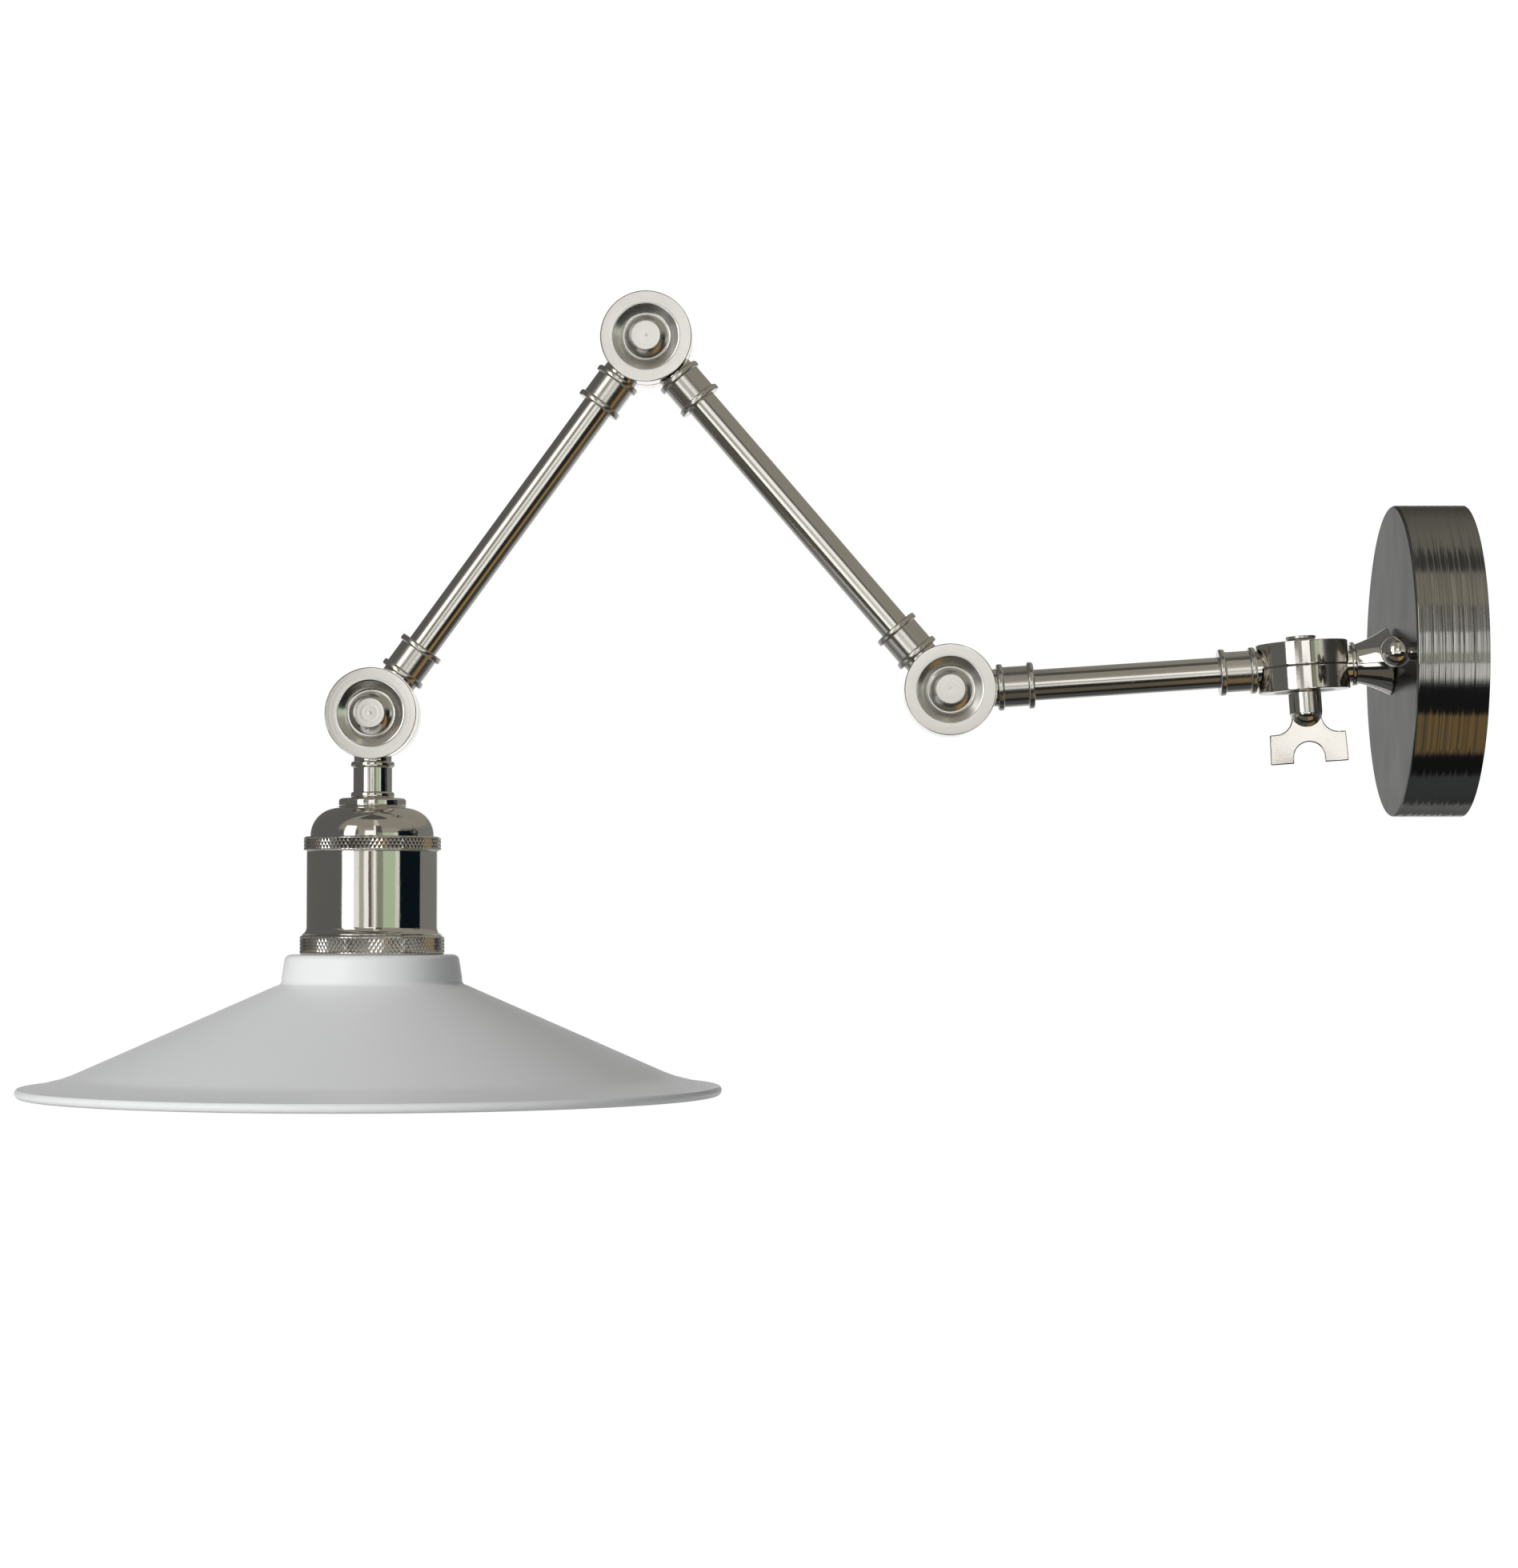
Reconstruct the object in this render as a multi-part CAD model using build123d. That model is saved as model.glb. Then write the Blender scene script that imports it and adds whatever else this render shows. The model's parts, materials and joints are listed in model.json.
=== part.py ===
from build123d import *
import os
from math import cos, radians, sin

# Articulating wall lamp, in millimetres. The wall is the plane X = 0 and the lamp reaches out
# along -X. The origin is the centre of the wall plate's back, +Z is up. The arms fold in the
# plane Y = 0. Every friction joint is the same fitting: two half discs on one bolt.

# ---- wall plate and what fixes it ----
plate_diameter = 100.0
plate_depth = 22.5
plate_wall = 2.5
plate_front = 2.5
plate_rim_round = 1.0
bracket_thickness = 2.0
bracket_margin = 0.6          # between the strap's ends and the plate's inner wall
bracket_width = 16.0
bracket_hub_radius = 31.0
cable_hole_radius = 10.0
wall_slot_spacing = 56.0
wall_slot_width = 5.0
wall_slot_length = 12.0
stud_spacing = 86.0
stud_diameter = 4.0
stud_hole_clearance = 0.25
screw_run_out = 0.2           # screws and studs end this far inside the bracket's back
ball_nut_diameter = 9.7
ball_nut_neck = 0.5           # neck between the ball and the plate
ball_nut_neck_radius = 2.9
stud_nut_flats = 7.0
stud_nut_height = 2.2
earth_screw_height = 23.0     # above the centre
earth_screw_head_radius = 3.8
earth_screw_head = 2.4
block_width = 24.0
block_height = 12.0
block_depth = 9.0
block_drop = 21.0             # below the centre
block_poles = 3
block_wire_radius = 1.7
block_screw_radius = 1.6
block_screw_head = 0.8
block_fixing_radius = 1.25
block_round = 1.2
screw_slot_width = 1.6
screw_slot_depth = 0.8
block_slot_width = 1.0
block_slot_depth = 0.6

# ---- the shared friction joint ----
disc_radius = 14.75
disc_thickness = 7.85         # seam to face, each half
disc_edge = 0.5
seam_gap = 0.3                # filled by the friction ring
recess_radius = 10.7
recess_floor_radius = 7.6
recess_depth = 1.6
chamber_radius = 11.3         # wire chamber
chamber_depth = 4.6
hub_radius = 4.5
boss_radius = 6.05
boss_reach = 15.3             # joint axis to the boss's shoulder
saddle_clearance = 0.3
bolt_diameter = 6.0
bolt_head_radius = 4.8
bolt_head_base_radius = 7.05
bolt_head_neck_radius = 4.3
bolt_head_height = 2.1        # above the disc's face
bolt_head_lip = 0.9
bolt_head_ease = 0.3
bolt_flare_height = 0.62      # where the flare turns out, as a share of its height
bolt_flare_bulge = 0.5        # metal outside the neck there
bolt_tip = 17.6               # seam to the bolt's end
friction_ring_width = 2.4
wire_bore_radius = 2.6
wire_slot_radius = 1.9

# ---- wing nut ----
wing_barrel_radius = 5.25
wing_barrel_end = 19.4        # seam to the barrel's rounded end
wing_barrel_straight = 14.6
wing_half_span = 12.2
wing_flare = 0.3              # each wing is this much wider at its tip
wing_top = 21.3
wing_bottom = 30.9
wing_shoulder = 5.5           # radius between barrel and wing
wing_notch_radius = 5.0
wing_thickness = 2.4
wing_bolt_cover = 1.0         # metal left past the bolt's end
wing_root = 2.0               # the wings start this far up the straight barrel
wing_overlap = 0.5            # and reach this far into it

# ---- arms ----
droop = 3.8                   # the stem leans this much below level
rising_heading = 130.6        # rest headings, from +X towards +Z
lamp_arm_heading = 234.0
head_heading = 270.0
wall_arm_length = 113.8       # joint centre to joint centre
arm_length = 150.0
tube_diameter = 10.0
tube_wall = 1.0
collar_length = 11.8
collar_radius = 6.5
flange_radius = 7.5
flange_width = 2.0
flange_round = 0.6
spigot_length = 11.0
wire_radius = 1.0
wire_gap = 0.06

# ---- stem between wall plate and first joint ----
stem_ring_radius = 7.05
stem_ring_width = 1.3
stem_neck_radius = 6.2
stem_ring_ease = 0.35
stem_edge = 0.4               # straight edge of the cone at the plate
cone_base_radius = 10.8
cone_length = 11.0
cone_waist_place = 0.45       # shares of its length and spread that shape the trumpet
cone_waist_spread = 0.36
stem_thread_diameter = 10.0
stem_hole_clearance = 0.4
stem_washer_radius = 8.0
stem_washer_thickness = 0.8
stem_nut_flats = 14.0
stem_nut_height = 3.0
stem_thread_past_nut = 1.5

# ---- lamp holder, measured down from the last joint ----
head_collar_radius = 6.25
head_flange_radius = 7.0
head_thread_diameter = 8.0
cap_wall = 1.3
cap_step_radius = 10.85
cap_step_height = 2.6
cap_step_round = 0.9
cap_step_ease = 0.5
cap_foot = 0.4                # the step turns out into the dome over this height
cap_shoulder_radius = 11.3
cap_radius = 19.9
cap_height = 12.4
cap_skirt = 8.0
cap_nut_flats = 13.0
cap_nut_height = 3.0
cap_ring_radius = 22.0
cap_ring_height = 4.7
cap_ring_ease = 0.4
shell_radius = 21.05
shell_wall = 1.0
shell_height = 26.9
shell_flare_radius = 22.4
shell_flare_height = 2.6
shell_flare_start = 0.4       # radius gained half way down the flare
shell_edge = 0.4              # straight edge at the shoulder
nose_radius = 19.6
nose_wall = 1.4
nose_length = 25.6
nose_lip = 1.5
nose_lip_gap = 1.0            # between the turned-in lip and the screw shell
shade_ring_radius = 23.2
shade_ring_height = 6.2
shade_ring_ease = 0.5
shade_nut_radius = 23.0
shade_nut_height = 4.5
shade_nut_flange = 1.5
shade_nut_ease = 0.5
shade_nut_hub = 1.6           # wall of its hub
insert_flange_height = 3.0
insert_crown = 15.0           # insert above its flange
insert_ease = 1.0
insert_gap = 0.3              # insert to nose
flange_gap = 0.1              # insert's flange to shell
socket_radius = 13.3          # inside of the lamp's screw shell
socket_wall = 0.5
socket_depth = 25.0
socket_tail = 4.5             # height of the coned bottom, beside the centre contact
socket_tail_radius = 10.0     # inside, at the floor
socket_floor_hole = 8.0       # radius of the hole round the centre contact
contact_gap = 0.4             # contact to screw shell
contact_width = 8.0
contact_thickness = 0.5
contact_rise = 3.0
contact_screw_radius = 2.4
contact_screw_height = 2.2
contact_screw_offset = 11.0
contact_screw_gap = 0.3

# ---- shade ----
shade_diameter = 225.0
shade_wall = 1.0
neck_top_radius = 28.0
neck_base_radius = 28.9
neck_height = 9.0
neck_round = 2.0
cone_outer_radius = 97.3
cone_angle = 23.8             # below level
rim_angle = 12.0
rim_bead_radius = 1.6
bead_drop = 0.8               # the bead's centre lies this share of its radius below the rim
rim_lean = 0.3                # share of the mitre where cone and rim meet inside
shade_hole_gap = 0.1
foot_start = 1.4              # where the neck starts to turn out, above its end
foot_drop = 0.9               # end of that turn below the neck's end, and outside its radius
foot_spread = 1.6

# ---- clearances ----
slide_fit = 0.05              # radial, shaft in hole
face_fit = 0.05               # between flat faces that turn on each other
seat = 0.02                   # between pieces that are fixed together


def heading(angle):
    """Direction in the arms' plane, in degrees from +X towards +Z."""
    return Vector(cos(radians(angle)), 0, sin(radians(angle)))


def placed(shape, origin, along, normal):
    """Shape moved so that its X runs along one direction and its Z along the other."""
    return Plane(origin=origin, x_dir=along, z_dir=normal).location * shape


def outline(start, *steps):
    """Closed face in XY: a point is a straight run, a pair is an arc (by way of, end)."""
    edges = []
    here = start
    for step in steps:
        if isinstance(step[0], tuple):
            edges.append(ThreePointArc(here, step[0], step[1]))
            here = step[1]
        else:
            edges.append(Line(here, step))
            here = step
    edges.append(Line(here, start))
    return make_face(Curve() + edges)


def turned(start, *steps):
    """Solid turned about X from an outline of (distance along, radius)."""
    return revolve(outline(start, *steps), Axis.X)


def tube(x0, x1, outer, inner):
    """Round tube along X."""
    return turned((x0, inner), (x1, inner), (x1, outer), (x0, outer))


def rod(x0, x1, radius):
    """Round bar along X."""
    return turned((x0, 0), (x1, 0), (x1, radius), (x0, radius))


def standing(shape):
    """Turns a shape made along X so that it stands along Z."""
    return Rot(0, -90, 0) * shape


def hex_nut(x0, height, flats, hole):
    """Hexagon nut along X with chamfered corners."""
    blank = extrude(Plane.YZ.offset(x0) * RegularPolygon(flats / 2, 6, major_radius=False), height)
    corner = flats / 2 / cos(radians(30))
    ease = (corner - flats / 2) / 2
    barrel = turned(
        (x0, 0), (x0, corner - ease), (x0 + ease, corner), (x0 + height - ease, corner),
        (x0 + height, corner - ease), (x0 + height, 0),
    )
    return (blank & barrel) - rod(x0 - 1, x0 + height + 1, hole)


# ---- where the joints are ----
wall_front = -plate_depth
stem_base = Vector(wall_front - cone_base_radius * sin(radians(droop)), 0, 0)
stem_length = boss_reach + stem_ring_width + cone_length
to_wall = heading(droop)
out_from_wall = heading(180 + droop)
swivel = stem_base + out_from_wall * stem_length
shoulder = swivel + out_from_wall * wall_arm_length
elbow = shoulder + heading(rising_heading) * arm_length
head = elbow + heading(lamp_arm_heading) * arm_length
swivel_down = heading(droop - 90)
rear = Vector(0, 1, 0)
front = Vector(0, -1, 0)
recess_floor = disc_thickness - recess_depth
bolt_hole = bolt_diameter / 2 + slide_fit
tube_radius = tube_diameter / 2
tube_bore = tube_radius - tube_wall
spigot_radius = tube_bore - slide_fit


def knuckle(spigot, reach):
    """Half of a friction joint: seam at Z = 0, face up, arm along X, with its spigot."""
    disc = standing(turned(
        (seam_gap / 2, 0), (seam_gap / 2, disc_radius), (disc_thickness - disc_edge, disc_radius),
        (disc_thickness, disc_radius - disc_edge), (disc_thickness, recess_radius),
        (recess_floor, recess_floor_radius), (recess_floor, 0),
    ))
    arm = rod(0, boss_reach, boss_radius) + rod(boss_reach - 1, boss_reach + reach, spigot)
    saddle = standing(rod(-boss_radius - 1, seam_gap / 2, disc_radius + saddle_clearance))
    half = disc + (arm - saddle)
    chamber = standing(tube(0, chamber_depth, chamber_radius, hub_radius))
    half -= chamber
    half -= standing(rod(0, disc_thickness, bolt_hole))
    half -= rod(boss_reach - 1, boss_reach + reach + 1, wire_bore_radius)
    slot_height = seam_gap / 2 + (chamber_depth - seam_gap / 2) / 2
    half -= Pos(0, 0, slot_height) * rod(hub_radius + wire_slot_radius, boss_reach, wire_slot_radius)
    return half


def friction_ring():
    """Thin ring clamped between the two halves' rims, about Z."""
    outer = disc_radius - disc_edge
    return standing(tube(
        -seam_gap / 2 + seat, seam_gap / 2 - seat, outer, outer - friction_ring_width,
    ))


def joint_bolt():
    """Through bolt along Z: flared button head below, plain stud end above."""
    base = -recess_floor - face_fit
    top = -disc_thickness - bolt_head_height
    lip = top + bolt_head_lip
    rim = base - bolt_head_lip / 2
    middle = (lip + (rim - lip) * bolt_flare_height, bolt_head_neck_radius + bolt_flare_bulge)
    ease = bolt_head_ease
    return standing(turned(
        (top, 0), (top, bolt_head_radius - ease), (top + ease, bolt_head_radius),
        (lip - ease, bolt_head_radius), (lip, bolt_head_neck_radius),
        (middle, (rim, bolt_head_base_radius)), (base, bolt_head_base_radius),
        (base, bolt_diameter / 2), (bolt_tip, bolt_diameter / 2), (bolt_tip, 0),
    ))


def wing_nut():
    """Wing nut along Z: round barrel, flat fork-shaped wings in the XZ plane."""
    start = recess_floor + face_fit
    round_start = wing_barrel_straight
    bulge = round_start + (wing_barrel_end - round_start) * 0.75
    barrel = standing(turned(
        (start, 0), (start, wing_barrel_radius), (round_start, wing_barrel_radius),
        ((bulge, wing_barrel_radius * 0.66), (wing_barrel_end, 0)),
    ))
    inner = wing_barrel_radius - wing_overlap
    root = round_start - wing_root
    shoulder_start = wing_top - wing_shoulder
    bend = wing_shoulder * (1 - cos(radians(45)))
    tip = wing_half_span + wing_flare
    notch_base = wing_bottom - wing_notch_radius * 0.35
    notch = wing_notch_radius
    wings = outline(
        (-inner, root), (inner, root), (inner, shoulder_start),
        ((inner + bend, wing_top - bend), (inner + wing_shoulder, wing_top)),
        (wing_half_span, wing_top), (tip, wing_bottom), (notch, wing_bottom), (notch, notch_base),
        ((0, notch_base - notch), (-notch, notch_base)), (-notch, wing_bottom), (-tip, wing_bottom),
        (-wing_half_span, wing_top), (-inner - wing_shoulder, wing_top),
        ((-inner - bend, wing_top - bend), (-inner, shoulder_start)),
    )
    plate = extrude(Plane.XZ * wings, wing_thickness / 2, both=True)
    hole = standing(rod(start - 1, bolt_tip + wing_bolt_cover / 2, bolt_hole))
    return barrel + plate - hole


def collar(x0, length, body, flange, bore):
    """Turned sleeve with a rounded flange at each end, along X."""
    x1 = x0 + length
    r = flange_round
    k = r * (1 - cos(radians(45)))
    return turned(
        (x0, bore), (x0, flange - r), ((x0 + k, flange - k), (x0 + r, flange)),
        (x0 + flange_width - r, flange),
        ((x0 + flange_width - k, flange - k), (x0 + flange_width, flange - r)),
        (x0 + flange_width, body), (x1 - flange_width, body), (x1 - flange_width, flange - r),
        ((x1 - flange_width + k, flange - k), (x1 - flange_width + r, flange)),
        (x1 - r, flange), ((x1 - k, flange - k), (x1, flange - r)), (x1, bore),
    )


def wires(length):
    """Two insulated conductors side by side through an arm's spigots and tube."""
    start = boss_reach + wire_radius
    one = rod(start, length - start, wire_radius)
    offset = wire_radius + wire_gap / 2
    return Compound(children=[Pos(0, offset, 0) * one, Pos(0, -offset, 0) * one])


def backplate():
    """Turned cup, open to the wall, with holes for the stem and the two studs."""
    radius = plate_diameter / 2
    r = plate_rim_round
    k = r * (1 - cos(radians(45)))
    inner = radius - plate_wall
    cup = turned(
        (0, inner), (0, radius), (wall_front + r, radius),
        ((wall_front + k, radius - k), (wall_front, radius - r)), (wall_front, 0),
        (wall_front + plate_front, 0), (wall_front + plate_front, inner),
    )
    cup -= rod(wall_front - 1, 0, stem_thread_diameter / 2 + stem_hole_clearance)
    stud_hole = stud_diameter / 2 + stud_hole_clearance
    for side in (-1, 1):
        cup -= Pos(0, side * stud_spacing / 2, 0) * rod(wall_front - 1, 0, stud_hole)
    return cup


def mounting_bracket():
    """Flat strap with a round middle, two wall slots and tapped holes for studs and earth."""
    reach = plate_diameter / 2 - plate_wall - bracket_margin
    face = Circle(bracket_hub_radius) + Rectangle(2 * reach, bracket_width)
    face = face & Circle(reach)
    face -= Circle(cable_hole_radius)
    for side in (-1, 1):
        slot = SlotOverall(wall_slot_length, wall_slot_width)
        face -= Pos(side * wall_slot_spacing / 2, 0) * slot
        face -= Pos(side * stud_spacing / 2, 0) * Circle(stud_diameter / 2 + slide_fit)
    face -= Pos(0, earth_screw_height) * Circle(stud_diameter / 2 + slide_fit)
    face -= Pos(0, -block_drop) * Circle(block_fixing_radius + slide_fit)
    return extrude(Plane.YZ * face, -bracket_thickness)


def pair(shape):
    """The same piece at both stud places."""
    return Compound(children=[Pos(0, side * stud_spacing / 2, 0) * shape for side in (-1, 1)])


def bracket_studs():
    """Two threaded studs from the bracket through the plate into the ball nuts."""
    end = wall_front - ball_nut_neck - ball_nut_diameter / 2
    return pair(rod(end, -screw_run_out, stud_diameter / 2))


def stud_nuts():
    """Lock nuts that hold the studs in the bracket."""
    x0 = -bracket_thickness - stud_nut_height - seat
    return pair(hex_nut(x0, stud_nut_height, stud_nut_flats, stud_diameter / 2 + slide_fit))


def ball_cap_nuts():
    """Two blind ball nuts that clamp the plate."""
    radius = ball_nut_diameter / 2
    centre = wall_front - ball_nut_neck - radius
    ball = Pos(centre, 0, 0) * Sphere(radius)
    neck = rod(centre, wall_front - seat, ball_nut_neck_radius)
    hole = rod(centre - 1, wall_front + 1, stud_diameter / 2 + slide_fit)
    return pair(ball + neck - hole)


def earth_screw():
    """Earth terminal screw in the bracket, slotted pan head."""
    front_face = -bracket_thickness
    tip = -screw_run_out
    head = rod(front_face - earth_screw_head, front_face - seat, earth_screw_head_radius)
    slot = Pos(front_face - earth_screw_head, 0, 0) * Box(
        2 * screw_slot_depth, 2 * earth_screw_head_radius, screw_slot_width,
    )
    return Pos(0, 0, earth_screw_height) * (head - slot + rod(front_face - 1, tip, stud_diameter / 2))


def block_places():
    """Across positions of the terminal block's poles."""
    pitch = block_width / block_poles
    return [(i - (block_poles - 1) / 2) * pitch for i in range(block_poles)]


def terminal_block():
    """Moulded terminal block screwed to the bracket below the cable hole."""
    back = -bracket_thickness - seat
    body = Box(block_depth, block_width, block_height)
    body = Pos(back - block_depth / 2, 0, -block_drop) * fillet(body.edges().filter_by(Axis.X), block_round)
    for place in block_places():
        body -= Pos(back - block_depth * 0.4, place, -block_drop) * Cylinder(
            block_wire_radius, block_height * 2,
        )
        for side in (-1, 1):
            height = -block_drop + side * block_height / 4
            body -= Pos(0, place, height) * rod(
                back - block_depth - 1, back - block_depth * 0.4, block_screw_radius + slide_fit,
            )
    return body


def terminal_screws():
    """The block's six clamping screws, slotted."""
    back = -bracket_thickness - seat
    outer = back - block_depth + block_screw_head
    inner = back - block_depth * 0.4 - block_wire_radius
    screw = rod(outer, inner, block_screw_radius)
    screw -= Pos(outer, 0, 0) * Box(2 * block_slot_depth, 4 * block_screw_radius, block_slot_width)
    screws = []
    for place in block_places():
        for side in (-1, 1):
            screws.append(Pos(0, place, -block_drop + side * block_height / 4) * screw)
    return Compound(children=screws)


def block_screw():
    """Small screw from behind the bracket into the block."""
    return Pos(0, 0, -block_drop) * rod(
        -bracket_thickness, -screw_run_out, block_fixing_radius,
    )


def stem_cone():
    """Trumpet-shaped spacer between the plate and the first joint, with a ring at its neck."""
    x0 = boss_reach + seat
    ring_end = boss_reach + stem_ring_width
    k = stem_ring_ease
    spread = cone_base_radius - stem_neck_radius
    waist = (ring_end + cone_length * cone_waist_place, stem_neck_radius + spread * cone_waist_spread)
    return turned(
        (x0, stem_thread_diameter / 2 + slide_fit), (x0, stem_ring_radius - k),
        (x0 + k, stem_ring_radius), (ring_end - k, stem_ring_radius),
        (ring_end, stem_ring_radius - k), (ring_end, stem_neck_radius),
        (waist, (stem_length - stem_edge, cone_base_radius)), (stem_length, cone_base_radius),
        (stem_length, stem_thread_diameter / 2 + slide_fit),
    )


def stem_fixing():
    """Where the washer starts inside the plate, clear of its inner face as the stem leans."""
    inner_face = (wall_front + plate_front - swivel.X) / cos(radians(droop))
    return inner_face + stem_washer_radius * sin(radians(droop)) / cos(radians(droop)) + face_fit


def stem_washer():
    """Plain washer on the stem's thread inside the plate."""
    x0 = stem_fixing()
    return tube(x0, x0 + stem_washer_thickness, stem_washer_radius, stem_thread_diameter / 2 + slide_fit)


def stem_lock_nut():
    """Hexagon nut that clamps the stem to the plate."""
    x0 = stem_fixing() + stem_washer_thickness + seat
    return hex_nut(x0, stem_nut_height, stem_nut_flats, stem_thread_diameter / 2 + slide_fit)


def stem_thread_reach():
    """Length of the wall knuckle's threaded spigot."""
    end = stem_fixing() + stem_washer_thickness + stem_nut_height + stem_thread_past_nut
    return end - boss_reach


# ---- lamp holder, along X downwards from the last joint ----
cap_top = boss_reach + collar_length + seat
cap_floor = cap_top + cap_height
shell_top = cap_floor + cap_ring_height + seat
shoulder_level = shell_top + shell_height
nose_end = shoulder_level + nose_length
ring_top = shoulder_level + seat
shade_top = ring_top + shade_ring_height + seat
nut_top = shade_top + shade_wall + seat
insert_radius = nose_radius - nose_wall - insert_gap
ledge = shoulder_level - shell_wall
insert_flange_top = ledge - insert_flange_height
insert_top = insert_flange_top - insert_crown
socket_mouth = nose_end - nose_lip - seat
socket_floor = socket_mouth - socket_depth


def holder_cap():
    """Domed cap: stepped top, round shoulder, plain skirt inside the shell."""
    step = cap_top + cap_step_height
    shoulder_start = step + cap_foot
    skirt_end = cap_floor + cap_skirt
    bore = head_thread_diameter / 2 + slide_fit
    w = cap_wall
    r = cap_step_round
    k = r * (1 - cos(radians(45)))
    rise = (cap_floor - shoulder_start) * sin(radians(45))
    span = (cap_radius - cap_shoulder_radius) * cos(radians(45))
    bulge = (cap_floor - rise, cap_shoulder_radius + span)
    inner_bulge = (bulge[0] + w * 0.75, bulge[1] - w * 0.75)
    return turned(
        (cap_top, bore), (cap_top, cap_step_radius - r),
        ((cap_top + k, cap_step_radius - k), (cap_top + r, cap_step_radius)),
        (step - cap_step_ease, cap_step_radius), (step, cap_step_radius - cap_step_ease),
        (shoulder_start, cap_shoulder_radius), (bulge, (cap_floor, cap_radius)),
        (skirt_end, cap_radius), (skirt_end, cap_radius - w), (cap_floor, cap_radius - w),
        (inner_bulge, (shoulder_start + w, cap_shoulder_radius - w * 0.4)),
        (cap_top + w, cap_step_radius - w), (cap_top + w, bore),
    )


def cap_lock_nut():
    """Hexagon nut inside the cap on the head knuckle's thread."""
    return hex_nut(
        cap_top + cap_wall + seat, cap_nut_height, cap_nut_flats, head_thread_diameter / 2 + slide_fit,
    )


def cap_ring():
    """Ring that is knurled outside and closes the joint of cap and shell."""
    ease = cap_ring_ease
    x0 = cap_floor + seat
    x1 = shell_top - seat
    return turned(
        (x0, cap_radius + slide_fit), (x0, cap_ring_radius - ease), (x0 + ease, cap_ring_radius),
        (x1 - ease, cap_ring_radius), (x1, cap_ring_radius - ease), (x1, cap_radius + slide_fit),
    )


def holder_shell():
    """Straight shell that flares to a shoulder, with the threaded nose below it."""
    inner = shell_radius - shell_wall
    flare = shoulder_level - shell_flare_height
    bend = (flare + shell_flare_height / 2, shell_radius + shell_flare_start)
    lip_inner = socket_radius + socket_wall + nose_lip_gap
    return turned(
        (shell_top, inner), (shell_top, shell_radius), (flare, shell_radius),
        (bend, (shoulder_level - shell_edge, shell_flare_radius)),
        (shoulder_level, shell_flare_radius), (shoulder_level, nose_radius), (nose_end, nose_radius),
        (nose_end, lip_inner), (nose_end - nose_lip, lip_inner),
        (nose_end - nose_lip, nose_radius - nose_wall), (ledge, nose_radius - nose_wall), (ledge, inner),
    )


def shade_ring():
    """Ring that is knurled outside, above the shade."""
    ease = shade_ring_ease
    x1 = ring_top + shade_ring_height
    bore = nose_radius + slide_fit
    return turned(
        (ring_top, bore), (ring_top, shade_ring_radius - ease), (ring_top + ease, shade_ring_radius),
        (x1 - ease, shade_ring_radius), (x1, shade_ring_radius - ease), (x1, bore),
    )


def shade_nut():
    """Flanged ring nut that holds the shade from inside."""
    bore = nose_radius + slide_fit
    hub = nose_radius + shade_nut_hub
    flange = nut_top + shade_nut_flange
    x1 = nut_top + shade_nut_height
    return turned(
        (nut_top, bore), (nut_top, shade_nut_radius), (flange, shade_nut_radius),
        (flange + shade_nut_ease, hub), (x1, hub), (x1, bore),
    )


def holder_insert():
    """Porcelain insert: terminal crown, flange on the shell's ledge, sleeve for the screw shell."""
    sleeve_bore = socket_radius + socket_wall + slide_fit
    flange = shell_radius - shell_wall - flange_gap
    body = turned(
        (insert_top, 0), (insert_top, insert_radius - insert_ease), (insert_top + insert_ease, insert_radius),
        (insert_flange_top, insert_radius), (insert_flange_top, flange), (ledge - seat, flange),
        (ledge - seat, insert_radius),
        (socket_mouth, insert_radius), (socket_mouth, sleeve_bore), (socket_floor, sleeve_bore),
        (socket_floor, 0),
    )
    for side in (-1, 1):
        body -= Pos(0, 0, side * contact_screw_offset) * rod(
            insert_top - 1, insert_top + contact_screw_height * 2, contact_screw_radius + contact_screw_gap,
        )
    return body


def screw_shell():
    """Threaded metal shell that takes the lamp, coned in to a floor round the contact."""
    outer = socket_radius + socket_wall
    floor = socket_floor + seat
    tail = floor + socket_tail
    return turned(
        (floor, socket_floor_hole), (floor, socket_tail_radius + socket_wall), (tail, outer),
        (socket_mouth, outer), (socket_mouth, socket_radius), (tail, socket_radius),
        (floor + socket_wall, socket_tail_radius), (floor + socket_wall, socket_floor_hole),
    )


def centre_contact():
    """Sprung tongue on the floor of the socket."""
    t = contact_thickness
    base = socket_floor + seat
    reach = socket_floor_hole - contact_gap
    radius = (reach ** 2 - (contact_width / 2) ** 2) ** 0.5
    foot = outline((base, -radius), (base, radius), (base + t, radius), (base + t, -radius))
    tongue = outline(
        (base, -radius), (base + t * 1.5, -radius), (base + contact_rise + t, radius * 0.5),
        (base + contact_rise, radius * 0.5 + t),
    )
    return extrude(foot + tongue, contact_width / 2, both=True)


def contact_screws():
    """Two slotted terminal screws in the insert's crown."""
    deep = insert_top + contact_screw_height * 2 - seat
    screw = rod(insert_top, deep, contact_screw_radius)
    screw -= Pos(insert_top, 0, 0) * Box(
        2 * screw_slot_depth, 4 * contact_screw_radius, screw_slot_width,
    )
    places = [Pos(0, 0, side * contact_screw_offset) * screw for side in (-1, 1)]
    return Compound(children=places)


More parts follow.
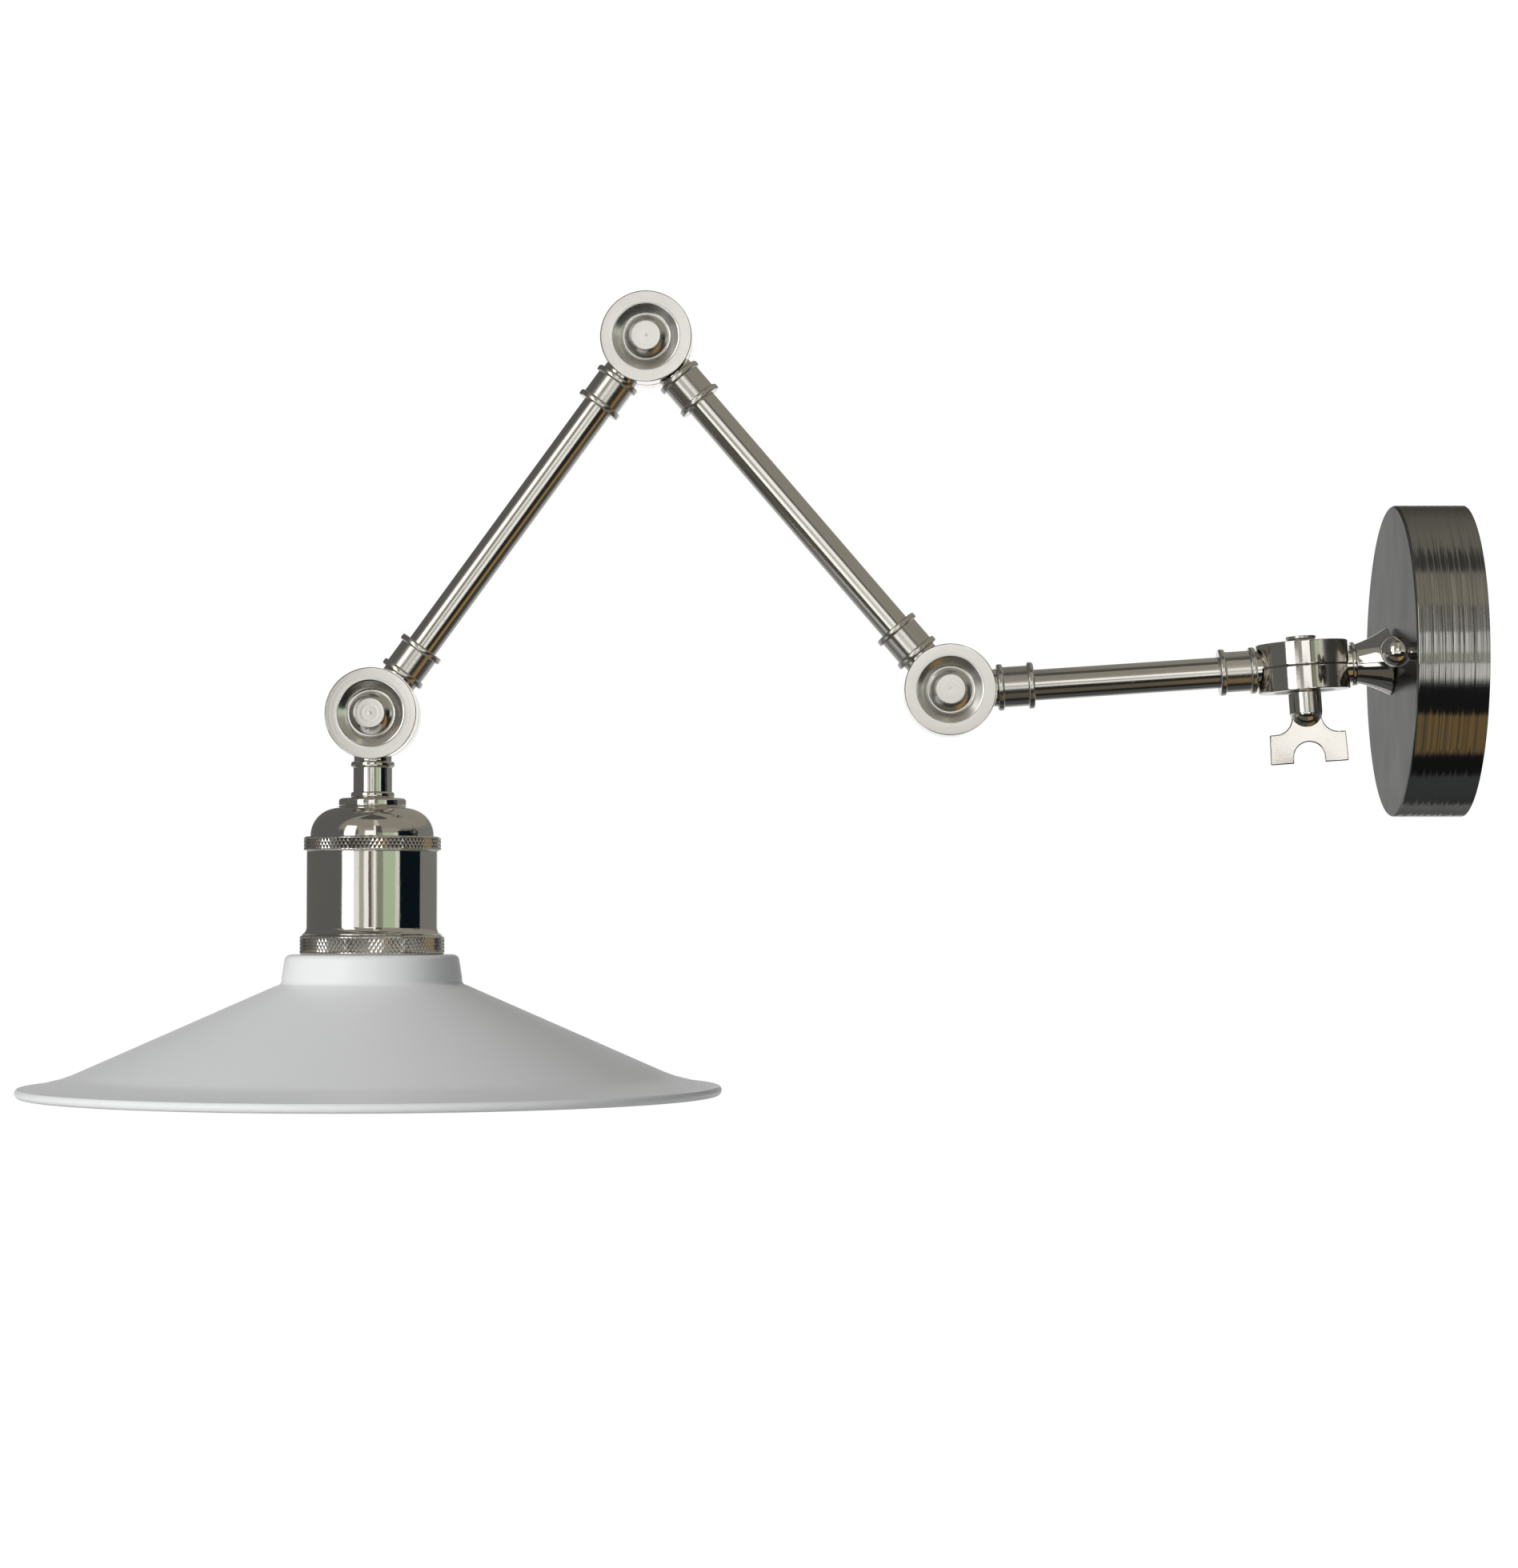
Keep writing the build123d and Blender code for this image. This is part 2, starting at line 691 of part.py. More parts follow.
def lampshade():
    """Spun shade: short neck, wide shallow cone, flat outward rim with a rolled edge."""
    w = shade_wall
    slope = radians(cone_angle)
    rim_slope = radians(rim_angle)
    bore = nose_radius + shade_hole_gap
    neck_end = shade_top + neck_height
    foot = (neck_end + foot_drop, neck_base_radius + foot_spread)
    brim = (foot[0] + (cone_outer_radius - foot[1]) * sin(slope) / cos(slope), cone_outer_radius)
    bead_at = shade_diameter / 2 - rim_bead_radius
    edge = (brim[0] + (bead_at - brim[1]) * sin(rim_slope) / cos(rim_slope), bead_at)
    r = neck_round
    k = r * (1 - cos(radians(45)))
    turn = shade_top + r
    inner_top = neck_top_radius - w
    inner_k = (r - w) * (1 - cos(radians(45)))
    lean = w * sin(slope) / (1 + cos(slope))
    outer_bend = (neck_end + foot_drop * 0.2, neck_base_radius + foot_spread * 0.2)
    inner_bend = (outer_bend[0] + w * 0.7, outer_bend[1] - w * 0.7)
    skin = turned(
        (shade_top, bore), (shade_top, neck_top_radius - r),
        ((shade_top + k, neck_top_radius - k), (turn, neck_top_radius)),
        (neck_end - foot_start, neck_base_radius), (outer_bend, foot), brim, edge,
        (edge[0] + w / cos(rim_slope), edge[1]), (brim[0] + w / cos(slope), brim[1] - lean * rim_lean),
        (foot[0] + w / cos(slope), foot[1]),
        (inner_bend, (neck_end - foot_start + w, neck_base_radius - w)), (turn, inner_top),
        ((shade_top + w + inner_k, inner_top - inner_k), (shade_top + w, neck_top_radius - r)),
        (shade_top + w, bore),
    )
    bead_centre = edge[0] + rim_bead_radius * bead_drop
    bead = revolve(Pos(bead_centre, bead_at) * Circle(rim_bead_radius), Axis.X)
    return skin + bead


def on_arm(origin, along):
    """Places a piece that was made along X on an arm."""
    return Plane(origin=origin, x_dir=along, z_dir=front).location


def fixed_parts():
    """Everything that stays on the wall."""
    stem = on_arm(swivel, to_wall)
    wall_knuckle = knuckle(stem_thread_diameter / 2, stem_thread_reach())
    return {
        "backplate": backplate(),
        "mounting_bracket": mounting_bracket(),
        "bracket_studs": bracket_studs(),
        "stud_nuts": stud_nuts(),
        "ball_cap_nuts": ball_cap_nuts(),
        "earth_screw": earth_screw(),
        "terminal_block": terminal_block(),
        "terminal_screws": terminal_screws(),
        "block_screw": block_screw(),
        "stem_cone": stem * stem_cone(),
        "stem_washer": stem * stem_washer(),
        "stem_lock_nut": stem * stem_lock_nut(),
        "wall_knuckle": placed(wall_knuckle, swivel, to_wall, swivel_down),
    }


def fastening(name, origin, along, nut_side):
    """Bolt, friction ring and wing nut of one joint."""
    return {
        f"{name}_bolt": placed(joint_bolt(), origin, along, nut_side),
        f"{name}_friction_ring": placed(friction_ring(), origin, along, nut_side),
        f"{name}_wing_nut": placed(wing_nut(), origin, along, nut_side),
    }


def arm_parts(name, near, along, length, near_side):
    """One arm: a knuckle at each end, the tube, two collars and the conductors inside."""
    far = near + along * length
    axis = on_arm(near, along)
    back = on_arm(far, along * -1)
    half = knuckle(spigot_radius, spigot_length)
    bore = tube_radius + seat
    sleeve = collar(boss_reach, collar_length, collar_radius, flange_radius, bore)
    start = boss_reach + seat
    return {
        f"{name}_near_knuckle": placed(half, near, along, near_side),
        f"{name}_far_knuckle": placed(half, far, along * -1, rear),
        f"{name}_near_collar": axis * sleeve,
        f"{name}_far_collar": back * sleeve,
        f"{name}_tube": axis * tube(start, length - start, tube_radius, tube_bore),
        f"{name}_wires": axis * wires(length),
    }


def head_parts():
    """Lamp holder and shade, hanging from the last joint."""
    down = heading(head_heading)
    axis = on_arm(head, down)
    thread = head_thread_diameter / 2
    reach = cap_top + cap_wall + cap_nut_height + 1.0 - boss_reach
    sleeve = collar(boss_reach, collar_length, head_collar_radius, head_flange_radius, thread + slide_fit)
    return {
        "head_knuckle": placed(knuckle(thread, reach), head, down, front),
        "head_collar": axis * sleeve,
        "holder_cap": axis * holder_cap(),
        "cap_lock_nut": axis * cap_lock_nut(),
        "cap_ring": axis * cap_ring(),
        "holder_shell": axis * holder_shell(),
        "holder_insert": axis * holder_insert(),
        "screw_shell": axis * screw_shell(),
        "centre_contact": axis * centre_contact(),
        "contact_screws": axis * contact_screws(),
        "shade_ring": axis * shade_ring(),
        "shade_nut": axis * shade_nut(),
        "lampshade": axis * lampshade(),
    }


nodes = fixed_parts()
nodes |= fastening("swivel", swivel, to_wall, swivel_down)
nodes |= fastening("shoulder", shoulder, to_wall, rear)
nodes |= fastening("elbow", elbow, Vector(1, 0, 0), rear)
nodes |= fastening("head", head, Vector(0, 0, 1), rear)
nodes |= arm_parts("wall_arm", swivel, out_from_wall, wall_arm_length, swivel_down * -1)
nodes |= arm_parts("rising_arm", shoulder, heading(rising_heading), arm_length, front)
nodes |= arm_parts("lamp_arm", elbow, heading(lamp_arm_heading), arm_length, front)
nodes |= head_parts()

os.makedirs("parts", exist_ok=True)
for name, shape in nodes.items():
    export_step(shape, f"parts/{name}.step")
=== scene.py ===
import cmath
import json
import math

import bmesh
import bpy
from mathutils import Matrix, Vector


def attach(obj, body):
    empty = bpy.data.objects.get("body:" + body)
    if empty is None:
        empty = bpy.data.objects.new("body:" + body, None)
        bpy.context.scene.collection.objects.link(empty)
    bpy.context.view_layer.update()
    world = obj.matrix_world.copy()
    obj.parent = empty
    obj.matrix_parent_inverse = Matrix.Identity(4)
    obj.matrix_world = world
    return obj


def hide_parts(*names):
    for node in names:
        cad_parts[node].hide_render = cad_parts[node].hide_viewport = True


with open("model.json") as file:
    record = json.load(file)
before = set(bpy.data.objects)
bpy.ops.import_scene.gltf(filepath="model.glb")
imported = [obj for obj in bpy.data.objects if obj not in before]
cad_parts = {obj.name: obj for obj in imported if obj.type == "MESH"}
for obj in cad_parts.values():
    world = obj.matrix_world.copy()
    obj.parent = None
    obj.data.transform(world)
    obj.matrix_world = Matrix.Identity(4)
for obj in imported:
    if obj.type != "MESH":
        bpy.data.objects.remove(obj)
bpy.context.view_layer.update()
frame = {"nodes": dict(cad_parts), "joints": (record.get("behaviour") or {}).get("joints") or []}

# ---- Wall plate ----
# A shallow cup turned from brass, nickel plated a little darker than the rest of the lamp. Its side
# keeps the fine lines of the lathe tool; its face is smooth. The back is open to the wall.

MM = 0.001
POLE = 0.02


def arc(start, by_way_of, end, steps=8):
    """Points of an arc of (distance, radius) pairs, after its start."""
    p, q, r = complex(*start), complex(*by_way_of), complex(*end)
    w = (r - p) / (q - p)
    centre = p + (q - p) * (w - abs(w) ** 2) / (2j * w.imag)
    turn = cmath.phase((r - centre) / (p - centre))
    part = cmath.phase((q - centre) / (p - centre))
    if turn * part < 0 or abs(part) > abs(turn):
        turn -= math.copysign(2 * math.pi, turn)
    points = [centre + (p - centre) * cmath.exp(1j * turn * i / steps) for i in range(1, steps + 1)]
    return [(z.real, z.imag) for z in points]


def eased(profile, size=0.2):
    """The profile with its sharp corners rounded over by a few small steps."""
    made = [profile[0]]
    for before, here, after in zip(profile, profile[1:], profile[2:]):
        back, on = Vector(before) - Vector(here), Vector(after) - Vector(here)
        if back.length < 1e-6 or on.length < 1e-6 or math.degrees(math.pi - back.angle(on)) < 18:
            made.append(here)
            continue
        cut = min(size, back.length * 0.42, on.length * 0.42)
        first = Vector(here) + back.normalized() * cut
        last = Vector(here) + on.normalized() * cut
        for t in (0, 1 / 3, 2 / 3, 1):
            point = first * (1 - t) ** 2 + Vector(here) * 2 * t * (1 - t) + last * t ** 2
            made.append(tuple(point))
    return made + [profile[-1]]


def start_piece(name):
    """Names the new primitive, puts its place into its mesh and opens it for shaping."""
    piece = bpy.context.object
    piece.name = piece.data.name = name
    bpy.ops.object.transform_apply(location=True, rotation=True, scale=True)
    bpy.ops.object.mode_set(mode="EDIT")
    bpy.ops.mesh.select_all(action="SELECT")
    return piece


def pick(piece, wanted):
    """Selects the vertices, in edit mode, whose place passes the test."""
    bpy.ops.mesh.select_all(action="DESELECT")
    bpy.ops.mesh.select_mode(type="VERT")
    mesh = bmesh.from_edit_mesh(piece.data)
    for vertex in mesh.verts:
        vertex.select = wanted(vertex.co)
    mesh.select_flush(True)
    bmesh.update_edit_mesh(piece.data)


def smooth_over(piece, angle=24):
    """Smooths all but real edges, and keeps the wide faces flat beside small roundings."""
    bpy.ops.object.select_all(action="DESELECT")
    piece.select_set(True)
    bpy.context.view_layer.objects.active = piece
    bpy.ops.mesh.customdata_custom_splitnormals_clear()
    bpy.ops.object.shade_smooth_by_angle(angle=math.radians(angle))
    flat = piece.modifiers.new("flat", "WEIGHTED_NORMAL")
    flat.keep_sharp = True
    bpy.ops.object.modifier_apply(modifier=flat.name)


def end_piece(piece, smooth=24):
    """Merges doubles, turns the faces outwards, leaves edit mode and smooths the piece."""
    bpy.ops.mesh.select_all(action="SELECT")
    bpy.ops.mesh.remove_doubles(threshold=2e-6)
    bpy.ops.mesh.normals_make_consistent(inside=False)
    bpy.ops.object.mode_set(mode="OBJECT")
    smooth_over(piece, smooth)
    return piece


def mark_turning(piece, at=(0, 0, 0), along=(0, 0, 1), wanted=None):
    """Stores how far each vertex lies along the turned profile, in millimetres, for the tool marks."""
    axis = Vector(along).normalized()
    marks = piece.data.attributes.get("turning")
    marks = marks or piece.data.attributes.new("turning", "FLOAT", "POINT")
    for vertex, mark in zip(piece.data.vertices, marks.data):
        if wanted is None or wanted(vertex.co):
            out = vertex.co - Vector(at)
            distance = out.dot(axis)
            mark.value = (distance + (out - axis * distance).length) / MM


def turned(name, profile, at=(0, 0, 0), along=(0, 0, 1), sides=96, ease=0.2, smooth=24):
    """Turned piece: a ring is laid at the profile's first point and extruded from point to point.

    A profile that ends where it began closes on itself; any other gets a face at each end."""
    at, axis = Vector(at), Vector(along).normalized()
    profile = eased(profile, ease)
    (distance, radius), *rest = profile
    bpy.ops.object.select_all(action="DESELECT")
    bpy.ops.mesh.primitive_circle_add(
        vertices=sides, radius=radius * MM, location=at + axis * distance * MM,
        rotation=axis.to_track_quat("Z", "Y").to_euler(),
    )
    piece = start_piece(name)
    for step, size in rest:
        run = axis * (step - distance) * MM
        bpy.ops.mesh.extrude_region_move(TRANSFORM_OT_translate={"value": run})
        grow = size / radius
        bpy.ops.transform.resize(value=(grow, grow, grow), center_override=at + axis * step * MM)
        distance, radius = step, size
    if profile[0] != profile[-1]:
        bpy.ops.mesh.edge_face_add()
        bpy.ops.mesh.poke()
        first, size = profile[0]
        start = at + axis * first * MM

        def on_first_ring(co):
            out = co - start
            return abs(out.dot(axis)) < 1e-6 and abs(out.length - size * MM) < 1e-6

        pick(piece, on_first_ring)
        bpy.ops.mesh.edge_face_add()
        bpy.ops.mesh.poke()
    end_piece(piece, smooth)
    mark_turning(piece, at, axis)
    return piece


def cut_with(piece, tool, operation="DIFFERENCE"):
    """Cuts or joins a piece with a tool piece, which is used up."""
    modifier = piece.modifiers.new("cut", "BOOLEAN")
    modifier.operation = operation
    modifier.solver = "EXACT"
    modifier.object = tool
    bpy.ops.object.select_all(action="DESELECT")
    bpy.context.view_layer.objects.active = piece
    piece.select_set(True)
    bpy.ops.object.modifier_apply(modifier=modifier.name)
    bpy.data.objects.remove(tool)
    smooth_over(piece)


def fit(piece, body, nodes, material):
    """Dresses a finished piece and ties it to the body and the solids that it stands for."""
    if not piece.data.materials:
        piece.data.materials.append(material)
    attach(piece, body)
    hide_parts(*nodes)
    return piece


class Reading:
    """A socket in a node tree. Sums, differences and products of readings add their Math nodes."""

    def __init__(self, tree, socket=None):
        self.tree = tree
        self.socket = socket

    def node(self, kind, settings, values, output=0):
        """Adds a node: its settings come first, then the values or links of its sockets."""
        made = self.tree.nodes.new(kind)
        for name, value in settings.items():
            setattr(made, name, value)
        for name, value in values.items():
            if isinstance(value, Reading):
                self.tree.links.new(value.socket, made.inputs[name])
            else:
                made.inputs[name].default_value = value
        return Reading(self.tree, made.outputs[output])

    def feeds(self, shader, name):
        self.tree.links.new(self.socket, shader.inputs[name])

    def beside(self, output):
        """Another output of the same node."""
        return Reading(self.tree, self.socket.node.outputs[output])

    def maths(self, operation, first, second=0.0):
        return self.node("ShaderNodeMath", {"operation": operation}, {0: first, 1: second})

    def noise(self, scale, detail=2.0, roughness=0.5, kind="3D"):
        """Noise at this place, or along this distance, from 0 to 1."""
        place = {"W": self} if kind == "1D" else {"Vector": self}
        return self.node(
            "ShaderNodeTexNoise", {"noise_dimensions": kind},
            {**place, "Scale": scale, "Detail": detail, "Roughness": roughness},
        )

    def spread(self, low, high):
        """This value's share of the way from low to high, eased at both ends."""
        return self.node(
            "ShaderNodeMapRange", {"interpolation_type": "SMOOTHSTEP"},
            {"Value": self, "From Min": low, "From Max": high},
        )

    def band(self, low, high, soft):
        """1 between low and high, 0 outside, with soft edges."""
        return self.spread(low - soft, low + soft) - self.spread(high - soft, high + soft)

    def blend(self, first, second):
        """One colour where this is 0, the other where it is 1."""
        return self.node("ShaderNodeMix", {"data_type": "RGBA"}, {0: self, 6: first, 7: second}, output=2)

    def bump(self, depth):
        """Normals of a relief this many metres deep."""
        return self.node("ShaderNodeBump", {}, {"Strength": 1.0, "Distance": depth, "Height": self})

    def __add__(self, other):
        return self.maths("ADD", self, other)

    def __sub__(self, other):
        return self.maths("SUBTRACT", self, other)

    def __mul__(self, other):
        return self.maths("MULTIPLY", self, other)


def new_finish(name, colour, metallic=0.0, roughness=0.4, **fixed):
    """A material with its even values set on the shader's own sockets."""
    material = bpy.data.materials.new(name)
    material.use_nodes = True
    surface = material.node_tree.nodes["Principled BSDF"]
    surface.inputs["Base Color"].default_value = (*colour, 1)
    surface.inputs["Metallic"].default_value = metallic
    surface.inputs["Roughness"].default_value = roughness
    for socket, value in fixed.items():
        surface.inputs[socket.replace("_", " ").title()].default_value = value
    reading = Reading(material.node_tree)
    return material, surface, reading


def place_of(reading):
    return reading.node("ShaderNodeTexCoord", {}, {}, "Object")


def tool_path(reading):
    return reading.node("ShaderNodeAttribute", {"attribute_name": "turning"}, {}, "Fac")


def plate_finish(name, lined):
    """Dark bright nickel. The side has the tool's lines, the face only a faint grain."""
    material, surface, tools = new_finish(
        name, (0.36, 0.355, 0.34), metallic=1.0, specular_tint=(0.36, 0.36, 0.36, 1),
    )
    place, path = place_of(tools), tool_path(tools)
    haze = place.noise(60, 3.0)
    haze.blend((0.39, 0.385, 0.37, 1), (0.31, 0.305, 0.29, 1)).feeds(surface, "Base Color")
    if lined:
        patches = place.noise(25, 2.0).spread(0.35, 0.65)
        lines = path.noise(0.62, 1.0, 0.4, "1D") * 1.8 + path.noise(2.6, 2.0, 0.5, "1D") * 0.5
        (lines * (patches * 0.45 + 0.55)).bump(0.00016).feeds(surface, "Normal")
        (haze * 0.07 + 0.06).feeds(surface, "Roughness")
    else:
        grain = place.noise(900, 2.0)
        grain.bump(0.000004).feeds(surface, "Normal")
        (haze * 0.10 + 0.17).feeds(surface, "Roughness")
    return material


PLATE_RADIUS = 50.0
PLATE_DEPTH = 22.5
PLATE_WALL = 2.5
PLATE_ROUND = 1.0
STUD_SPACING = 86.0
to_room = Vector((-1, 0, 0))
inner = PLATE_RADIUS - PLATE_WALL
bend = PLATE_ROUND * (1 - math.cos(math.radians(45)))
shoulder = (PLATE_DEPTH - PLATE_ROUND, PLATE_RADIUS)
rim_round = arc(
    shoulder, (PLATE_DEPTH - bend, PLATE_RADIUS - bend), (PLATE_DEPTH, PLATE_RADIUS - PLATE_ROUND), 5,
)
plate_cup = turned("backplate_cup", [
    (PLATE_DEPTH / 2, inner), (0, inner), (0, PLATE_RADIUS), shoulder, *rim_round,
    (PLATE_DEPTH, 30), (PLATE_DEPTH, 6), (PLATE_DEPTH - PLATE_WALL, 6),
    (PLATE_DEPTH - PLATE_WALL, inner), (PLATE_DEPTH / 2, inner),
], along=to_room, sides=192)
for side in (-1, 1):
    bpy.ops.object.select_all(action="DESELECT")
    bpy.ops.mesh.primitive_cylinder_add(
        vertices=48, radius=2.25 * MM, depth=12 * MM, rotation=(0, math.pi / 2, 0),
        location=(-PLATE_DEPTH * MM, side * STUD_SPACING / 2 * MM, 0),
    )
    cut_with(plate_cup, bpy.context.object)
mark_turning(plate_cup, along=to_room)
plate_side = plate_finish("plate_side_nickel", lined=True)
plate_face = plate_finish("plate_face_nickel", lined=False)
for material in (plate_side, plate_face):
    plate_cup.data.materials.append(material)
for face in plate_cup.data.polygons:
    face.material_index = int(abs(face.normal.x) > 0.6)
fit(plate_cup, "wall_mount", ["backplate"], plate_side)

# ---- Behind the plate ----
# A pressed and zinc plated strap, screwed to the wall, carries the studs, the earth screw and a
# moulded terminal block. The solids are right as they are and only get their finishes.


def zinc_finish():
    """Bright zinc on pressed steel, with its faint spangle."""
    material, surface, tools = new_finish("zinc_steel", (0.56, 0.57, 0.58), metallic=1.0)
    place = place_of(tools)
    spangle = place.noise(220, 3.0)
    spangle.blend((0.48, 0.49, 0.50, 1), (0.64, 0.65, 0.65, 1)).feeds(surface, "Base Color")
    (spangle * 0.22 + 0.26).feeds(surface, "Roughness")
    place.noise(1400, 2.0).bump(0.000012).feeds(surface, "Normal")
    return material


def brass_finish():
    """Unplated brass with a little tarnish."""
    material, surface, tools = new_finish("plain_brass", (0.78, 0.56, 0.26), metallic=1.0)
    place = place_of(tools)
    tarnish = place.noise(160, 4.0)
    tarnish.blend((0.82, 0.60, 0.29, 1), (0.62, 0.42, 0.18, 1)).feeds(surface, "Base Color")
    (tarnish * 0.25 + 0.16).feeds(surface, "Roughness")
    place.noise(1600, 2.0).bump(0.000008).feeds(surface, "Normal")
    return material


def moulded_finish(name, colour, roughness, grain):
    """Moulded or cut stuff with a fine grain."""
    material, surface, tools = new_finish(name, colour, roughness=roughness)
    place = place_of(tools)
    mottle = place.noise(180, 3.0)
    darker = tuple(c * 0.86 for c in colour)
    mottle.blend((*colour, 1), (*darker, 1)).feeds(surface, "Base Color")
    (mottle * 0.15 + roughness).feeds(surface, "Roughness")
    place.noise(grain, 2.0).bump(0.00002).feeds(surface, "Normal")
    return material


def dress(material, *nodes):
    """Gives solids that stay as they are their finish."""
    for node in nodes:
        for slot in frame["nodes"][node].material_slots:
            slot.material = material


zinc = zinc_finish()
brass = brass_finish()
dress(zinc, "mounting_bracket", "bracket_studs", "stud_nuts", "stem_washer", "stem_lock_nut", "block_screw")
dress(brass, "earth_screw", "terminal_screws", "contact_screws")
dress(zinc, "cap_lock_nut")
dress(moulded_finish("block_plastic", (0.80, 0.79, 0.74), 0.45, 1500), "terminal_block")
dress(moulded_finish("wire_insulation", (0.28, 0.17, 0.10), 0.40, 2500),
      "wall_arm_wires", "rising_arm_wires", "lamp_arm_wires")
dress(moulded_finish("friction_fibre", (0.10, 0.09, 0.08), 0.75, 1800),
      "swivel_friction_ring", "shoulder_friction_ring", "elbow_friction_ring", "head_friction_ring")

# ---- Ball cap nuts ----
# Two blind nuts with round heads, turned from brass and polished before plating. They clamp the
# plate on the bracket's studs, one in front of the stem and one behind it.


def polished_finish(name="polished_nickel", shine=0.045, colour=(0.76, 0.735, 0.69), wave=0.00012):
    """Bright nickel over polished brass, with faint haze and hairlines."""
    material, surface, tools = new_finish(name, colour, metallic=1.0)
    place = place_of(tools)
    haze = place.noise(70, 4.0)
    deeper = tuple(c * 0.93 for c in colour)
    haze.blend((*colour, 1), (*deeper, 1)).feeds(surface, "Base Color")
    smears = place.noise(260, 3.0, 0.6).spread(0.55, 0.75)
    (haze * 0.03 + smears * 0.05 + shine).feeds(surface, "Roughness")
    (place.noise(45, 1.0) + place.noise(1300, 2.0) * 0.02).bump(wave).feeds(surface, "Normal")
    return material


SEAT = 0.02
BALL_RADIUS = 4.85
BALL_NECK = 0.5
BALL_NECK_RADIUS = 2.9
polished = polished_finish()
ball_centre = PLATE_DEPTH + BALL_NECK + BALL_RADIUS
seat_back = math.sqrt(BALL_RADIUS ** 2 - BALL_NECK_RADIUS ** 2)
ball_start = (ball_centre - seat_back, BALL_NECK_RADIUS)
for number, side in enumerate((-1, 1), 1):
    ball = turned(f"ball_nut_{number}", [
        (PLATE_DEPTH + SEAT, BALL_NECK_RADIUS), ball_start,
        *arc(ball_start, (ball_centre, BALL_RADIUS), (ball_centre + BALL_RADIUS, POLE), 22),
    ], at=(0, side * STUD_SPACING / 2 * MM, 0), along=to_room, sides=64, ease=0.05)
    fit(ball, "wall_mount", ["ball_cap_nuts"], polished)

# ---- Stem spacer ----
# A trumpet-shaped spacer, turned and polished. A thread from the first knuckle passes through it
# and the plate, and it leans a few degrees, as the whole first arm does.

joints = {joint["name"]: joint for joint in frame["joints"]}
swivel_at = Vector(joints["wall_swivel"]["pos_m"])
swivel_up = Vector(joints["wall_swivel"]["axis"])
shoulder_at = Vector(joints["shoulder_tilt"]["pos_m"])
elbow_at = Vector(joints["elbow_tilt"]["pos_m"])
head_at = Vector(joints["head_tilt"]["pos_m"])
outward = (shoulder_at - swivel_at).normalized()
to_wall = -outward
BOSS_REACH = 15.3
STEM_BORE = 5.1
STEM_RING = 1.3
STEM_RING_RADIUS = 7.05
CONE_LENGTH = 11.0
CONE_TOP = 6.2
CONE_BASE = 10.8
ring_end = BOSS_REACH + STEM_RING
cone_end = ring_end + CONE_LENGTH
stem_cone = turned("stem_trumpet", [
    (BOSS_REACH + 0.6, STEM_BORE), (BOSS_REACH + SEAT, STEM_BORE), (BOSS_REACH + SEAT, STEM_RING_RADIUS),
    (ring_end, STEM_RING_RADIUS), (ring_end, CONE_TOP),
    *arc((ring_end, CONE_TOP), (ring_end + CONE_LENGTH * 0.45, 7.86), (cone_end - 0.4, CONE_BASE), 14),
    (cone_end, CONE_BASE), (cone_end, STEM_BORE), (BOSS_REACH + 0.6, STEM_BORE),
], at=swivel_at, along=to_wall, sides=96, ease=0.3)
fit(stem_cone, "wall_mount", ["stem_cone"], polished)

# ---- Friction knuckles ----
# Each joint is two half discs, faced on the lathe and recessed round the bolt. A boss on the rim of
# each half, cut back round the other half, carries the arm. The bolt's wing nut sets the friction.


def turned_finish(name, colour, shine, coarse=0.0, fine=0.000002):
    """Nickel over a lathe-faced surface: fine rings in its shine and relief."""
    material, surface, tools = new_finish(name, colour, metallic=1.0)
    place, path = place_of(tools), tool_path(tools)
    rings = path.noise(6.0, 2.0, 0.6, "1D")
    broad = path.noise(1.1, 1.0, 0.5, "1D")
    haze = place.noise(90, 3.0)
    deeper = tuple(c * 0.90 for c in colour)
    (haze * 0.5 + rings * 0.5).blend((*colour, 1), (*deeper, 1)).feeds(surface, "Base Color")
    (rings * 0.10 + haze * 0.06 + shine).feeds(surface, "Roughness")
    (rings * (fine / 0.00001) + broad * (coarse / 0.00001)).bump(0.00001).feeds(surface, "Normal")
    return material


DISC_RADIUS = 14.75
DISC_FACE = 7.85
SEAM = 0.15
RECESS_RADIUS = 10.7
RECESS_FLOOR_RADIUS = 7.6
RECESS_FLOOR = 6.25
BOSS_RADIUS = 6.05
BOLT_HOLE = 3.05
SPIGOT_RADIUS = 3.95
SPIGOT_END = 20

half_knuckle = turned("half_knuckle", [
    (SEAM, 9), (SEAM, DISC_RADIUS), (DISC_FACE, DISC_RADIUS), (DISC_FACE, RECESS_RADIUS),
    (RECESS_FLOOR, RECESS_FLOOR_RADIUS), (RECESS_FLOOR, BOLT_HOLE), (SEAM, BOLT_HOLE), (SEAM, 9),
], sides=128, ease=0.45)
boss = turned("boss", [
    (8, BOSS_RADIUS), (BOSS_REACH, BOSS_RADIUS), (BOSS_REACH, SPIGOT_RADIUS), (SPIGOT_END, SPIGOT_RADIUS),
], along=(1, 0, 0), sides=96, ease=0.1)
bpy.ops.object.select_all(action="DESELECT")
bpy.ops.mesh.primitive_cylinder_add(
    vertices=128, radius=(DISC_RADIUS + 0.3) * MM, depth=10 * MM, location=(0, 0, (SEAM - 5) * MM),
)
cut_with(boss, bpy.context.object)
cut_with(half_knuckle, boss, "UNION")
mark_turning(half_knuckle)
mark_turning(half_knuckle, along=(1, 0, 0), wanted=lambda co: co.x > (DISC_RADIUS + SEAT) * MM)


